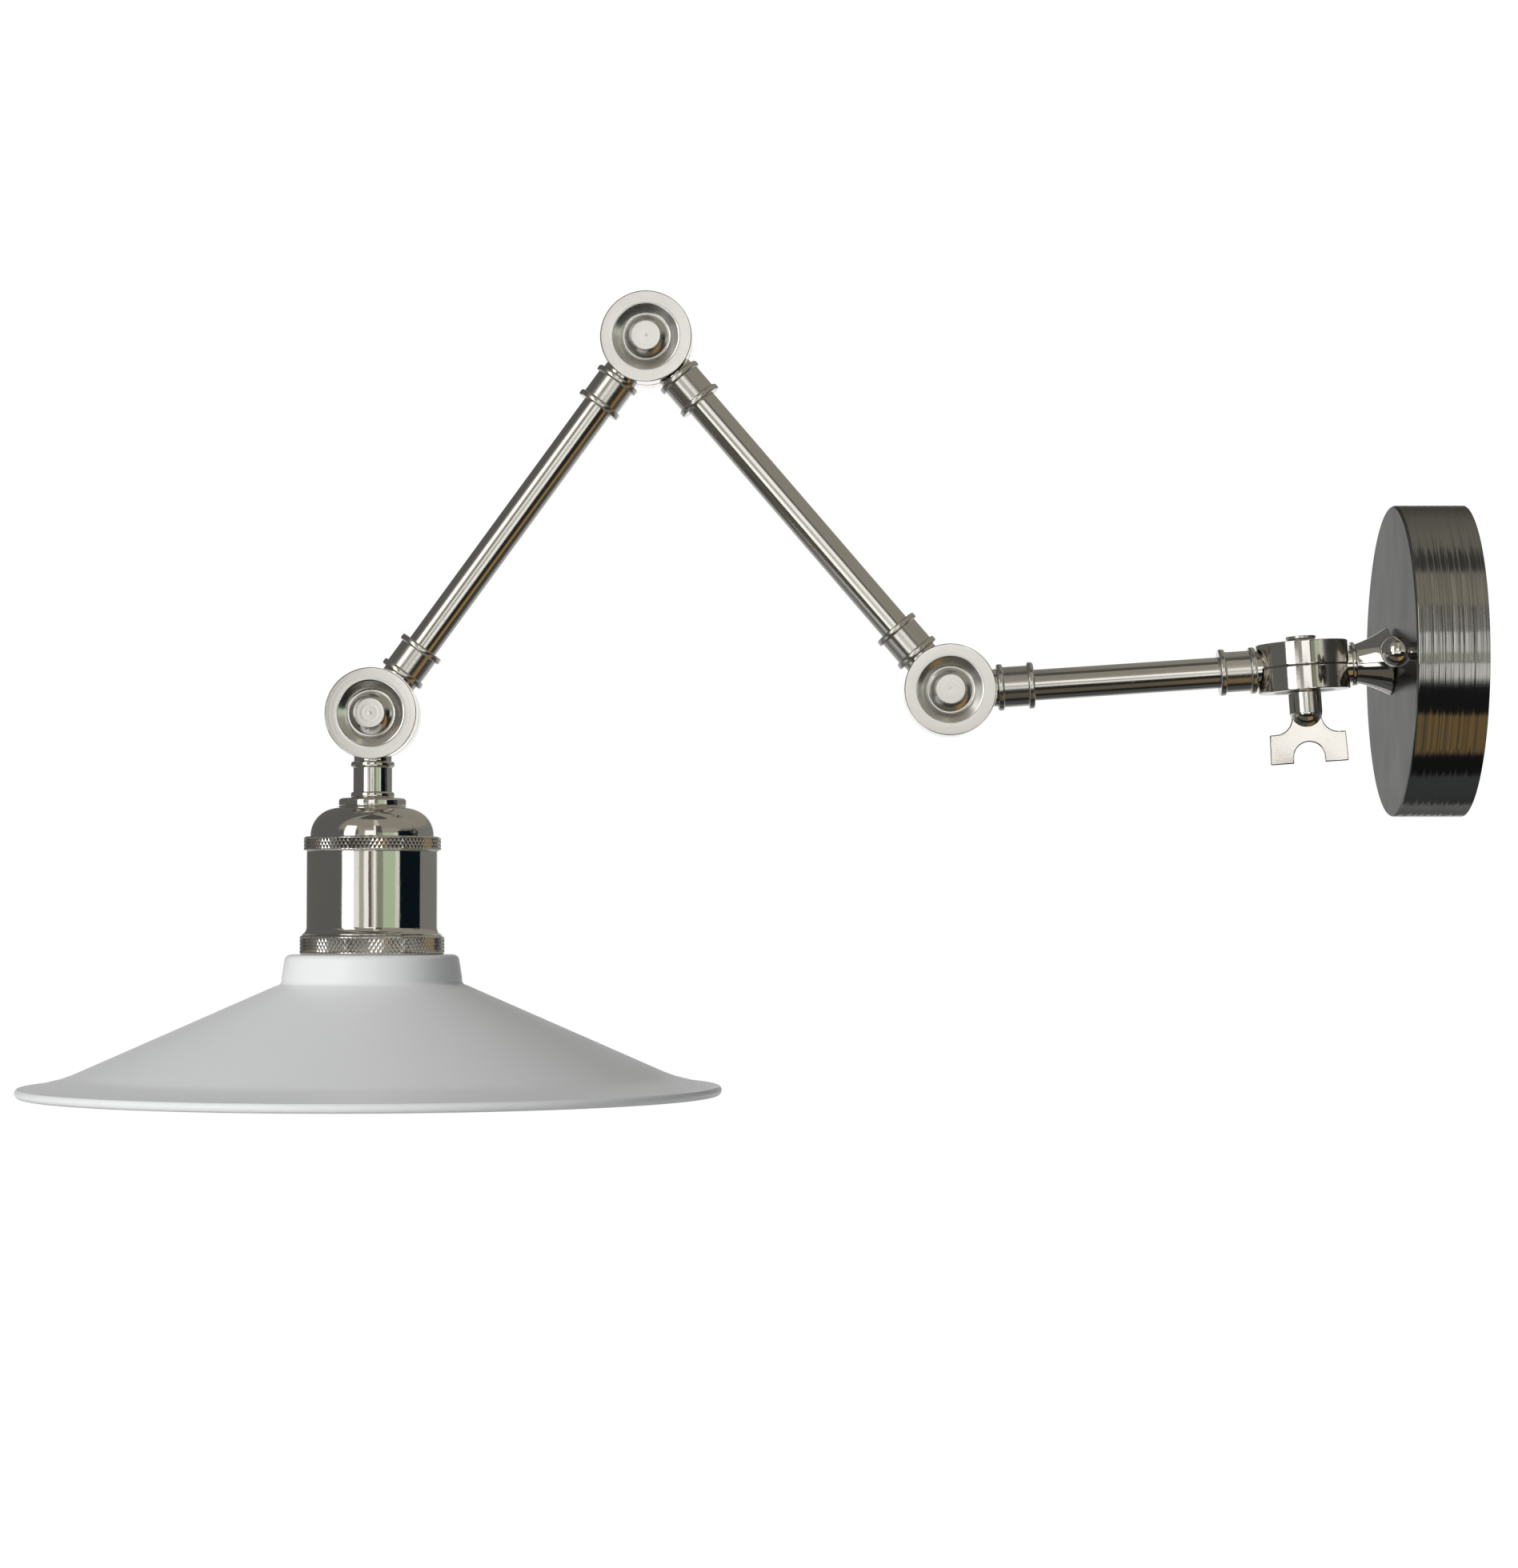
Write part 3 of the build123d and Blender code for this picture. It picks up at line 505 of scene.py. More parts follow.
def standing_copy(master, name, origin, along, normal):
    """A copy with its own mesh: X goes along one direction, Z along the other."""
    x, z = Vector(along).normalized(), Vector(normal).normalized()
    axes = Matrix((x, z.cross(x), z)).transposed().to_4x4()
    piece = master.copy()
    piece.data = master.data.copy()
    piece.name = piece.data.name = name
    bpy.context.collection.objects.link(piece)
    piece.data.transform(Matrix.Translation(origin) @ axes)
    return piece


faced = turned_finish("faced_nickel", (0.80, 0.785, 0.755), 0.17, coarse=0.000004)
lamp_faced = turned_finish("bright_faced_nickel", (0.78, 0.765, 0.735), 0.09, coarse=0.000010)
for face in half_knuckle.data.polygons:
    outside = math.hypot(face.center.x, face.center.y) > (DISC_RADIUS - 0.35) * MM
    face.material_index = int(outside or face.center.z < SEAM * MM)
front, rear = Vector((0, -1, 0)), Vector((0, 1, 0))
rising = (elbow_at - shoulder_at).normalized()
falling = (head_at - elbow_at).normalized()
down = Vector((0, 0, -1))
halves = [
    ("wall_knuckle", "wall_mount", swivel_at, to_wall, -swivel_up, faced),
    ("wall_arm_near_knuckle", "wall_arm", swivel_at, outward, swivel_up, faced),
    ("wall_arm_far_knuckle", "wall_arm", shoulder_at, to_wall, rear, faced),
    ("rising_arm_near_knuckle", "rising_arm", shoulder_at, rising, front, faced),
    ("rising_arm_far_knuckle", "rising_arm", elbow_at, -rising, rear, faced),
    ("lamp_arm_near_knuckle", "lamp_arm", elbow_at, falling, front, faced),
    ("lamp_arm_far_knuckle", "lamp_arm", head_at, -falling, rear, lamp_faced),
    ("head_knuckle", "lamp_head", head_at, down, front, lamp_faced),
]
for node, body, at, along, normal, material in halves:
    half = standing_copy(half_knuckle, node.replace("knuckle", "half_disc"), at, along, normal)
    for metal in (material, polished):
        half.data.materials.append(metal)
    fit(half, body, [node], material)
bpy.data.objects.remove(half_knuckle)

# ---- Joint bolts ----
# Turned bolts with a flat round button on a flared foot, which sits in the recess. The button's face
# keeps the rings and the small pip of facing off.

BUTTON_RADIUS = 4.8
BUTTON_TOP = DISC_FACE + 2.1
LIP = BUTTON_TOP - 0.9
FOOT = RECESS_FLOOR + 0.05
FOOT_RIM = FOOT + 0.45
FOOT_RADIUS = 7.05
NECK_RADIUS = 4.3
SHANK_RADIUS = 3
flare_mid = (LIP + (FOOT_RIM - LIP) * 0.56, NECK_RADIUS + 1.1)
flare = arc((LIP, NECK_RADIUS), flare_mid, (FOOT_RIM, FOOT_RADIUS), 10)
bolt = turned("bolt", [
    (-8, SHANK_RADIUS), (FOOT, SHANK_RADIUS), (FOOT, FOOT_RADIUS), (FOOT_RIM, FOOT_RADIUS),
    *flare[::-1][1:],
    (LIP, NECK_RADIUS), (LIP, BUTTON_RADIUS), (BUTTON_TOP, BUTTON_RADIUS), (BUTTON_TOP, 0.8),
    (BUTTON_TOP - 0.1, 0.3),
], sides=96, ease=0.3)
arm_of = {
    "swivel": ("wall_mount", swivel_at, to_wall, swivel_up),
    "shoulder": ("wall_arm", shoulder_at, to_wall, front),
    "elbow": ("rising_arm", elbow_at, Vector((1, 0, 0)), front),
    "head": ("lamp_arm", head_at, Vector((0, 0, 1)), front),
}
for name, (body, at, along, bolt_side) in arm_of.items():
    button = standing_copy(bolt, f"{name}_button_bolt", at, along, bolt_side)
    fit(button, body, [f"{name}_bolt"], lamp_faced if name == "head" else faced)
bpy.data.objects.remove(bolt)

# ---- Wing nuts ----
# Cast in brass, polished and plated: a round barrel that grows into a flat fork with two wings. The
# swivel's hangs below its joint; the other three sit behind theirs.

BARREL_RADIUS = 5.25
BARREL_STRAIGHT = 14.6
BARREL_END = 19.4
WING_SPAN = 12.2
WING_TIP = 12.5
WING_TOP = 21.3
WING_BOTTOM = 30.9
WING_SHOULDER = 5.5
NOTCH = 5.0
WING_THICKNESS = 2.4


def drawn(name, points, normal_at):
    """A flat outline in XZ: one vertex is drawn out from point to point, closed and filled."""
    bpy.ops.object.select_all(action="DESELECT")
    bpy.ops.mesh.primitive_plane_add(size=MM, location=(0, normal_at * MM, 0))
    piece = start_piece(name)
    bpy.ops.mesh.merge(type="CENTER")
    here = (0.0, 0.0)
    for number, point in enumerate([*points, points[0]]):
        run = ((point[0] - here[0]) * MM, 0, (point[1] - here[1]) * MM)
        if number == 0:
            bpy.ops.transform.translate(value=run)
        else:
            bpy.ops.mesh.extrude_vertices_move(TRANSFORM_OT_translate={"value": run})
        here = point
    bpy.ops.mesh.select_all(action="SELECT")
    bpy.ops.mesh.remove_doubles(threshold=1e-6)
    bpy.ops.mesh.edge_face_add()
    return piece


root = BARREL_RADIUS - 0.5
bend_in = WING_SHOULDER * (1 - math.cos(math.radians(45)))
shoulder_start = WING_TOP - WING_SHOULDER
notch_base = WING_BOTTOM - NOTCH * 0.35
right_shoulder = arc(
    (root, shoulder_start), (root + bend_in, WING_TOP - bend_in), (root + WING_SHOULDER, WING_TOP), 8,
)
half_wing = [
    (root, BARREL_STRAIGHT - 2), (root, shoulder_start), *right_shoulder, (WING_SPAN, WING_TOP),
    (WING_TIP, WING_BOTTOM), (NOTCH, WING_BOTTOM), (NOTCH, notch_base),
]
notch = arc((NOTCH, notch_base), (0, notch_base - NOTCH), (-NOTCH, notch_base), 14)
outline = [*half_wing, *notch[:-1], *[(-x, z) for x, z in reversed(half_wing)]]
fork = drawn("fork", outline, WING_THICKNESS / 2)
bpy.ops.mesh.extrude_region_move(TRANSFORM_OT_translate={"value": (0, -WING_THICKNESS * MM, 0)})
end_piece(fork)
rounding = fork.modifiers.new("edges", "BEVEL")
rounding.width = 0.35 * MM
rounding.segments = 3
rounding.limit_method = "ANGLE"
rounding.angle_limit = math.radians(40)
bpy.ops.object.modifier_apply(modifier=rounding.name)
smooth_over(fork)
barrel = turned("wing_nut", [
    (FOOT, BARREL_RADIUS), (BARREL_STRAIGHT, BARREL_RADIUS),
    *arc((BARREL_STRAIGHT, BARREL_RADIUS), (18.2, 3.47), (BARREL_END, POLE), 14),
], sides=64, ease=0.3)
cut_with(barrel, fork, "UNION")
mark_turning(barrel)
for name, (body, at, along, bolt_side) in arm_of.items():
    nut = standing_copy(barrel, f"{name}_winged_nut", at, along, -bolt_side)
    fit(nut, f"{name}_nut", [f"{name}_wing_nut"], polished)
bpy.data.objects.remove(barrel)

# ---- Collars and tubes ----
# Drawn brass tube, lightly polished along its length before plating. A turned sleeve with a bead at
# each end is soldered on at both ends, against the boss of the knuckle.

TUBE_RADIUS = 5.0
TUBE_BORE = 4.0
COLLAR_LENGTH = 11.8


def collar_profile(start, length, body, flange, bore):
    """Sleeve with a rounded bead at each end."""
    width, r = 2.0, 0.6
    k = r * (1 - math.cos(math.radians(45)))
    end = start + length
    first = [
        (start, flange - r), *arc((start, flange - r), (start + k, flange - k), (start + r, flange), 4),
        (start + width - r, flange),
        *arc((start + width - r, flange), (start + width - k, flange - k), (start + width, flange - r), 4),
        (start + width, body),
    ]
    second = [(start + end - x, r1) for x, r1 in reversed(first)]
    middle = start + length / 2
    return [(middle, bore), (start, bore), *first, *second, (end, bore), (middle, bore)]


tube_metal = polished_finish("tube_nickel", 0.13, (0.72, 0.70, 0.655), 0.00003)
sleeve_metal = turned_finish("sleeve_nickel", (0.72, 0.70, 0.655), 0.13, coarse=0.000005)
collar = turned(
    "collar", collar_profile(0, COLLAR_LENGTH, 6.5, 7.5, TUBE_RADIUS + SEAT), along=(1, 0, 0), ease=0.15,
)
arms = [
    ("wall_arm", swivel_at, shoulder_at),
    ("rising_arm", shoulder_at, elbow_at),
    ("lamp_arm", elbow_at, head_at),
]
for arm, near, far in arms:
    along = (far - near).normalized()
    length = (far - near).length / MM
    for end, at, way in (("near", near, along), ("far", far, -along)):
        sleeve = standing_copy(collar, f"{arm}_{end}_sleeve", at + way * BOSS_REACH * MM, way, front)
        fit(sleeve, arm, [f"{arm}_{end}_collar"], sleeve_metal)
    start = BOSS_REACH + SEAT
    pipe = turned(f"{arm}_pipe", [
        (length / 2, TUBE_BORE), (start, TUBE_BORE), (start, TUBE_RADIUS), (length / 2, TUBE_RADIUS),
        (length - start, TUBE_RADIUS), (length - start, TUBE_BORE), (length / 2, TUBE_BORE),
    ], at=near, along=along, sides=96)
    fit(pipe, arm, [f"{arm}_tube"], tube_metal)
bpy.data.objects.remove(collar)

# ---- Lamp holder ----
# A spun and polished cap, a straight shell with a flared foot, and two knurled rings that hold the
# cap and the shade. The head's own collar is slimmer than the arms'.

HEAD_REACH = BOSS_REACH + COLLAR_LENGTH + SEAT
CAP_STEP = 2.6
CAP_FLOOR = HEAD_REACH + 12.4
CAP_RADIUS = 19.9
CAP_WALL = 1.3
HEAD_BORE = 4.05
head_sleeve = turned(
    "head_sleeve", collar_profile(BOSS_REACH, COLLAR_LENGTH, 6.25, 7.0, HEAD_BORE),
    at=head_at, along=down, ease=0.15,
)
fit(head_sleeve, "lamp_head", ["head_collar"], polished)

DOME_TOP = 11.3
step_end = HEAD_REACH + CAP_STEP
dome_start = (step_end + 0.4, DOME_TOP)
dome_mid = (
    CAP_FLOOR - (CAP_FLOOR - dome_start[0]) * 0.7071, DOME_TOP + (CAP_RADIUS - DOME_TOP) * 0.7071,
)
dome = arc(dome_start, dome_mid, (CAP_FLOOR, CAP_RADIUS), 18)
lining = [(d + CAP_WALL * 0.6, r - CAP_WALL * 0.8) for d, r in reversed(dome[2:-1])]
cap = turned("holder_dome", [
    (HEAD_REACH + CAP_WALL, 7), (HEAD_REACH + CAP_WALL, HEAD_BORE), (HEAD_REACH, HEAD_BORE),
    (HEAD_REACH, 9.95),
    *arc((HEAD_REACH, 9.95), (HEAD_REACH + 0.27, 10.58), (HEAD_REACH + 0.9, 10.85), 5),
    (step_end - 0.3, 10.85), (step_end, 10.7), dome_start, *dome, (CAP_FLOOR + 8, CAP_RADIUS),
    (CAP_FLOOR + 8, CAP_RADIUS - CAP_WALL), (CAP_FLOOR, CAP_RADIUS - CAP_WALL), *lining,
    (HEAD_REACH + CAP_WALL, 9.5), (HEAD_REACH + CAP_WALL, 7),
], at=head_at, along=down, sides=144, ease=0.2)
fit(cap, "lamp_head", ["holder_cap"], polished)

KNURL_PITCH = 1.41
KNURL_ROW = 1.1
KNURL_DEPTH = 0.30
RING_GAP = 0.05


def knurled_ring(name, start, height, radius, bore, rows, ease):
    """Ring with a diamond knurl: every other vertex of the rows is pushed in between the points."""
    sides = 2 * round(2 * math.pi * radius / KNURL_PITCH)
    spare = (height - KNURL_ROW * (rows - 1)) / 2
    levels = [start + spare + KNURL_ROW * i for i in range(rows)]
    middle = start + height / 2
    ring = turned(name, [
        (middle, bore), (start, bore), (start, radius - ease), (start + ease, radius),
        *[(level, radius) for level in levels],
        (start + height - ease, radius), (start + height, radius - ease), (start + height, bore),
        (middle, bore),
    ], at=head_at, along=down, sides=sides, ease=0.05, smooth=6)
    bpy.ops.object.mode_set(mode="EDIT")

    def valley(co):
        out = co - head_at
        row = round((-out.z / MM - levels[0]) / KNURL_ROW)
        on_row = 0 <= row < rows and abs(-out.z / MM - levels[0] - row * KNURL_ROW) < 0.01
        spoke = math.floor(math.atan2(out.y, out.x) / (2 * math.pi) * sides + 0.25)
        return on_row and math.hypot(out.x, out.y) > (radius - 0.1) * MM and (spoke + row) % 2 == 1

    pick(ring, valley)
    sink = 1 - KNURL_DEPTH / radius
    bpy.ops.transform.resize(value=(sink, sink, 1), center_override=head_at)
    pick(ring, lambda co: math.hypot(co.x - head_at.x, co.y) > (radius - ease - 0.1) * MM)
    bpy.ops.mesh.quads_convert_to_tris(quad_method="SHORTEST_DIAGONAL")
    end_piece(ring, 6)
    return ring


CAP_RING = 4.7
SHELL_TOP = CAP_FLOOR + CAP_RING + SEAT
SHOULDER = SHELL_TOP + 26.9
knurled = polished_finish("knurled_nickel", 0.11, (0.74, 0.72, 0.68))
upper_ring = knurled_ring(
    "upper_knurl", CAP_FLOOR + SEAT, CAP_RING - SEAT, 22.0, CAP_RADIUS + RING_GAP, rows=4, ease=0.4,
)
fit(upper_ring, "lamp_head", ["cap_ring"], knurled)

SHELL_RADIUS = 21.05
SHELL_BORE = 20.05
SHOULDER_RADIUS = 22.4
LIP_WALL = 1.5
MOUTH_RADIUS = 14.8
NOSE_BORE = 18.2
NOSE_RADIUS = 19.6
NOSE_END = SHOULDER + 25.6
flare_start = SHOULDER - 2.6
shell = turned("holder_barrel", [
    (SHELL_TOP + 12, SHELL_BORE), (SHELL_TOP, SHELL_BORE), (SHELL_TOP, SHELL_RADIUS),
    (flare_start, SHELL_RADIUS),
    *arc((flare_start, SHELL_RADIUS), (SHOULDER - 1.3, 21.45), (SHOULDER - 0.4, SHOULDER_RADIUS), 10),
    (SHOULDER, SHOULDER_RADIUS), (SHOULDER, NOSE_RADIUS), (NOSE_END, NOSE_RADIUS),
    (NOSE_END, MOUTH_RADIUS), (NOSE_END - LIP_WALL, MOUTH_RADIUS), (NOSE_END - LIP_WALL, NOSE_BORE),
    (SHOULDER - 1, NOSE_BORE), (SHOULDER - 1, SHELL_BORE), (SHELL_TOP + 12, SHELL_BORE),
], at=head_at, along=down, sides=192, ease=0.25)
fit(shell, "lamp_head", ["holder_shell"], polished)

RING_TOP = SHOULDER + SEAT
RING_HEIGHT = 6.2
lower_ring = knurled_ring(
    "lower_knurl", RING_TOP, RING_HEIGHT, 23.2, NOSE_RADIUS + RING_GAP, rows=5, ease=0.5,
)
fit(lower_ring, "lamp_head", ["shade_ring"], knurled)

# ---- Inside the holder ----
# A pressed porcelain insert carries the rolled brass screw shell and the sprung contact that the
# bulb's cap meets. All of it shows from below.


def porcelain_finish():
    """Glazed white porcelain with a faint random mottle in its tone."""
    material, surface, tools = new_finish("porcelain", (0.86, 0.84, 0.79), roughness=0.12)
    place = place_of(tools)
    glaze = place.noise(120, 3.0)
    glaze.blend((0.88, 0.86, 0.81, 1), (0.80, 0.77, 0.71, 1)).feeds(surface, "Base Color")
    (glaze * 0.12 + 0.06).feeds(surface, "Roughness")
    place.noise(320, 2.0).bump(0.00003).feeds(surface, "Normal")
    return material


MOUTH = NOSE_END - LIP_WALL - SEAT
SOCKET_FLOOR = MOUTH - 25.0
LEDGE = SHOULDER - 1.0
INSERT_RADIUS = 17.9
FLANGE_RADIUS = 19.95
SOCKET_RADIUS = 13.85
insert = turned("porcelain_insert", [
    (LEDGE - 18, 15), (LEDGE - 18, INSERT_RADIUS), (LEDGE - 3, INSERT_RADIUS), (LEDGE - 3, FLANGE_RADIUS),
    (LEDGE - SEAT, FLANGE_RADIUS), (LEDGE - SEAT, INSERT_RADIUS), (MOUTH, INSERT_RADIUS),
    (MOUTH, SOCKET_RADIUS), (SOCKET_FLOOR, SOCKET_RADIUS), (SOCKET_FLOOR, 6),
], at=head_at, along=down, ease=0.5)
fit(insert, "lamp_head", ["holder_insert"], porcelain_finish())

THREAD_PITCH = 3.63
THREAD_TURNS = 4
THREAD_RADIUS = 13.2
THREAD_DEPTH = 0.84
WAVE_STEPS = 10
bpy.ops.object.select_all(action="DESELECT")
bpy.ops.mesh.primitive_plane_add(size=MM, location=(THREAD_RADIUS * MM, 0, 0))
thread = start_piece("rolled_screw_shell")
bpy.ops.mesh.merge(type="CENTER")
depth_before = 0.0
for step in range(1, WAVE_STEPS + 1):
    depth = THREAD_DEPTH / 2 * (math.cos(2 * math.pi * step / WAVE_STEPS) - 1)
    run = ((depth - depth_before) * MM, 0, THREAD_PITCH / WAVE_STEPS * MM)
    bpy.ops.mesh.extrude_vertices_move(TRANSFORM_OT_translate={"value": run})
    depth_before = depth
bpy.ops.object.mode_set(mode="OBJECT")
winding = thread.modifiers.new("winding", "SCREW")
winding.screw_offset = THREAD_PITCH * MM
winding.iterations = THREAD_TURNS
winding.steps = winding.render_steps = 64
winding.use_merge_vertices = True
winding.merge_threshold = 1e-6
bpy.ops.object.modifier_apply(modifier=winding.name)
wall = thread.modifiers.new("wall", "SOLIDIFY")
wall.thickness = 0.35 * MM
wall.offset = 0
bpy.ops.object.modifier_apply(modifier=wall.name)
bpy.ops.object.mode_set(mode="EDIT")
end_piece(thread, 50)
thread.data.transform(Matrix.Translation(head_at + down * (MOUTH - 0.2) * MM))
fit(thread, "lamp_head", ["screw_shell"], brass)
TAIL = SOCKET_FLOOR + 4.5
TAIL_RADIUS = 13.55
shell_tail = turned("screw_shell_tail", [
    (TAIL, TAIL_RADIUS), (TAIL + 2.6, TAIL_RADIUS), (TAIL + 2.6, THREAD_RADIUS), (TAIL, THREAD_RADIUS),
    (SOCKET_FLOOR + 0.6, 10), (SOCKET_FLOOR + 0.6, 8), (SOCKET_FLOOR + 0.1, 8),
    (SOCKET_FLOOR + 0.1, 10.4), (TAIL, TAIL_RADIUS),
], at=head_at, along=down, ease=0.1)
fit(shell_tail, "lamp_head", ["screw_shell"], brass)
dress(brass, "centre_contact")

# ---- Shade ----
# Spun from one disc of sheet steel: a short neck, a wide shallow cone and a rim rolled outwards,
# powder coated white in and out. A flanged ring nut holds it from inside.


def enamel_finish():
    """Satin white powder coat with its faint orange peel."""
    material, surface, tools = new_finish("white_enamel", (0.80, 0.81, 0.80), roughness=0.36)
    place = place_of(tools)
    cloud = place.noise(14, 3.0)
    cloud.blend((0.81, 0.815, 0.81, 1), (0.77, 0.78, 0.775, 1)).feeds(surface, "Base Color")
    (place.noise(90, 2.0) * 0.10 + 0.32).feeds(surface, "Roughness")
    place.noise(650, 2.0).bump(0.000012).feeds(surface, "Normal")
    return material


SHADE_TOP = RING_TOP + RING_HEIGHT + SEAT
SHADE_RADIUS = 112.5
SHADE_WALL = 1.0
SHADE_HOLE = NOSE_RADIUS + 0.1
NECK_TOP = 28.0
NECK_BASE = 28.9
NECK_END = SHADE_TOP + 9.0
CONE_RADIUS = 97.3
CONE_SLOPE = math.tan(math.radians(23.8))
RIM_SLOPE = math.tan(math.radians(12.0))
BEAD = 1.6
foot = (NECK_END + 0.9, NECK_BASE + 1.6)
brim = (foot[0] + (CONE_RADIUS - foot[1]) * CONE_SLOPE, CONE_RADIUS)
edge_radius = SHADE_RADIUS - BEAD
edge = (brim[0] + (edge_radius - CONE_RADIUS) * RIM_SLOPE, edge_radius)
bead_centre = edge[0] + BEAD * 0.8
outside = [
    (SHADE_TOP, SHADE_HOLE), (SHADE_TOP, NECK_TOP - 2),
    *arc((SHADE_TOP, NECK_TOP - 2), (SHADE_TOP + 0.586, NECK_TOP - 0.586), (SHADE_TOP + 2, NECK_TOP), 8),
    (NECK_END - 1.4, NECK_BASE),
    *arc((NECK_END - 1.4, NECK_BASE), (NECK_END + 0.18, NECK_BASE + 0.32), foot, 8),
    (brim[0] - 1.2, brim[1] - 1.2 / CONE_SLOPE), (brim[0] + 0.3, brim[1] + 0.3 / RIM_SLOPE),
    (edge[0], edge[1] - 1.5),
]
bead = [
    (bead_centre + BEAD * math.cos(math.radians(turn)), edge_radius + BEAD * math.sin(math.radians(turn)))
    for turn in range(150, -101, -25)
]
inside = [
    (brim[0] + SHADE_WALL * 1.1, brim[1] - 0.3), (foot[0] + SHADE_WALL * 1.1, foot[1]),
    (NECK_END + 0.9, NECK_BASE - 0.5), (NECK_END - 0.8, NECK_BASE - SHADE_WALL),
    (SHADE_TOP + 2, NECK_TOP - SHADE_WALL), (SHADE_TOP + SHADE_WALL, NECK_TOP - 2),
    (SHADE_TOP + SHADE_WALL, SHADE_HOLE), (SHADE_TOP, SHADE_HOLE),
]
enamel = enamel_finish()
shade = turned(
    "spun_shade", [*outside, *bead, *inside], at=head_at, along=down, sides=256, ease=0.3, smooth=40,
)
fit(shade, "lamp_head", ["lampshade"], enamel)

NUT_TOP = SHADE_TOP + SHADE_WALL + SEAT
NUT_BORE = NOSE_RADIUS + RING_GAP
NUT_FLANGE = 23
NUT_HUB = 21.2
ring_nut = turned("shade_ring_nut", [
    (NUT_TOP + 1, NUT_BORE), (NUT_TOP, NUT_BORE), (NUT_TOP, NUT_FLANGE), (NUT_TOP + 1.5, NUT_FLANGE),
    (NUT_TOP + 2, NUT_HUB), (NUT_TOP + 4.5, NUT_HUB), (NUT_TOP + 4.5, NUT_BORE), (NUT_TOP + 1, NUT_BORE),
], at=head_at, along=down, sides=128, ease=0.3)
fit(ring_nut, "lamp_head", ["shade_nut"], polished)

# ---- Studio ----
# A pale floor and a white background, one large soft lamp from the front left and an even sky. The
# metal sees a room: a window, pale and dark cards, a dark table below and the white background.

ROOM = [
    # azimuth from the camera's side and elevation in degrees, softness of the edges, colour; later
    # cards lie over earlier ones
    (-180, 180, -90, 90, 1, (0.13, 0.13, 0.125)),
    (99, 180, -60, 50, 1.2, (0.21, 0.215, 0.20)),
    (-62, 180, 20, 90, 6, (0.31, 0.29, 0.25)),
    (-40, 60, 64, 90, 1.5, (0.09, 0.09, 0.085)),
    (-20, 60, 0, 26, 3, (0.36, 0.34, 0.30)),
    (-47, -26, -28, 34, 2.2, (2.2, 2.2, 2.15)),
    (-38, -18, -26, -7, 1.5, (1.5, 1.5, 1.45)),
    (-7.5, 11, 2.2, 17, 0.8, (1.3, 1.29, 1.27)),
    (9, 20, 34, 62, 1.5, (0.62, 0.58, 0.47)),
    (8.8, 12.4, -11, 36, 0.7, (1.25, 1.24, 1.2)),
    (12.4, 24, -11, 36, 0.8, (0.10, 0.10, 0.10)),
    (-25, 60, -34, -11, 2.0, (0.02, 0.02, 0.02)),
    (-26, -16, -4, 2.2, 1.0, (1.0, 1.0, 0.97)),
    (-16, -8, -4, 2.2, 0.7, (0.48, 0.47, 0.43)),
    (-8, 0, -4, 2.2, 0.7, (1.1, 1.1, 1.07)),
    (0, 5, -4, 2.2, 0.5, (0.14, 0.11, 0.08)),
    (5, 8.6, -4, 2.2, 0.5, (0.55, 0.54, 0.50)),
    (8.6, 12.4, -4, 2.2, 0.5, (1.1, 1.09, 1.05)),
    (12.4, 15, -4, 2.2, 0.5, (0.55, 0.54, 0.50)),
    (15, 25, -6, 8, 1, (0.27, 0.29, 0.22)),
    (25, 49, -6, 8, 1.5, (0.50, 0.59, 0.43)),
    (47, 55, -9, 8, 1.5, (0.75, 0.78, 0.68)),
    (55, 99, -40, 14, 1.2, (0.004, 0.008, 0.012)),
]

studio = bpy.data.worlds.new("studio")
bpy.context.scene.world = studio
studio.use_nodes = True
sky = studio.node_tree.nodes["Background"]
tools = Reading(studio.node_tree)
direction = tools.node("ShaderNodeTexCoord", {}, {}, "Generated")
axes = tools.node("ShaderNodeSeparateXYZ", {}, {0: direction})
across, away, up = axes, axes.beside("Y"), axes.beside("Z")
azimuth = tools.maths("ARCTAN2", across, away * -1.0) * math.degrees(1)
elevation = tools.maths("ARCSINE", up) * math.degrees(1)
room = (0, 0, 0, 1)
for left, right, low, high, soft, colour in ROOM:
    card = azimuth.band(left, right, soft) * elevation.band(low, high, soft)
    room = card.blend(room, (*colour, 1))
room = away.spread(0.93, 0.98).blend(room, (1, 1, 1, 1))
paths = tools.node("ShaderNodeLightPath", {}, {}, "Is Camera Ray")
seen = paths + paths.beside("Is Glossy Ray") + paths.beside("Is Transmission Ray")
shown = paths.blend(room, (1, 1, 1, 1))
even = elevation.spread(10, 50).blend((0.34, 0.345, 0.35, 1), (0.17, 0.172, 0.175, 1))
seen.blend(even, shown).feeds(sky, "Color")

FLOOR_DROP = 0.60
TABLE_DROP = 0.55
TABLE_AWAY = -2.0
TABLE_ACROSS = -0.23
bpy.ops.object.select_all(action="DESELECT")
bpy.ops.mesh.primitive_plane_add(size=12, location=(TABLE_ACROSS, 0, -FLOOR_DROP))
floor = bpy.context.object
floor.name = "floor"
pale, surface, tools = new_finish("pale_floor", (0.9, 0.9, 0.9), roughness=0.8)
paths = tools.node("ShaderNodeLightPath", {}, {}, "Is Camera Ray")
seen = paths + paths.beside("Is Glossy Ray") + paths.beside("Is Transmission Ray")
glow = tools.node("ShaderNodeEmission", {}, {"Color": (1, 1, 1, 1), "Strength": 1.3})
paint = Reading(tools.tree, surface.outputs[0])
lift = tools.node("ShaderNodeMixShader", {}, {0: seen * 0.8, 1: paint, 2: glow})
lift.feeds(pale.node_tree.nodes["Material Output"], "Surface")
floor.data.materials.append(pale)

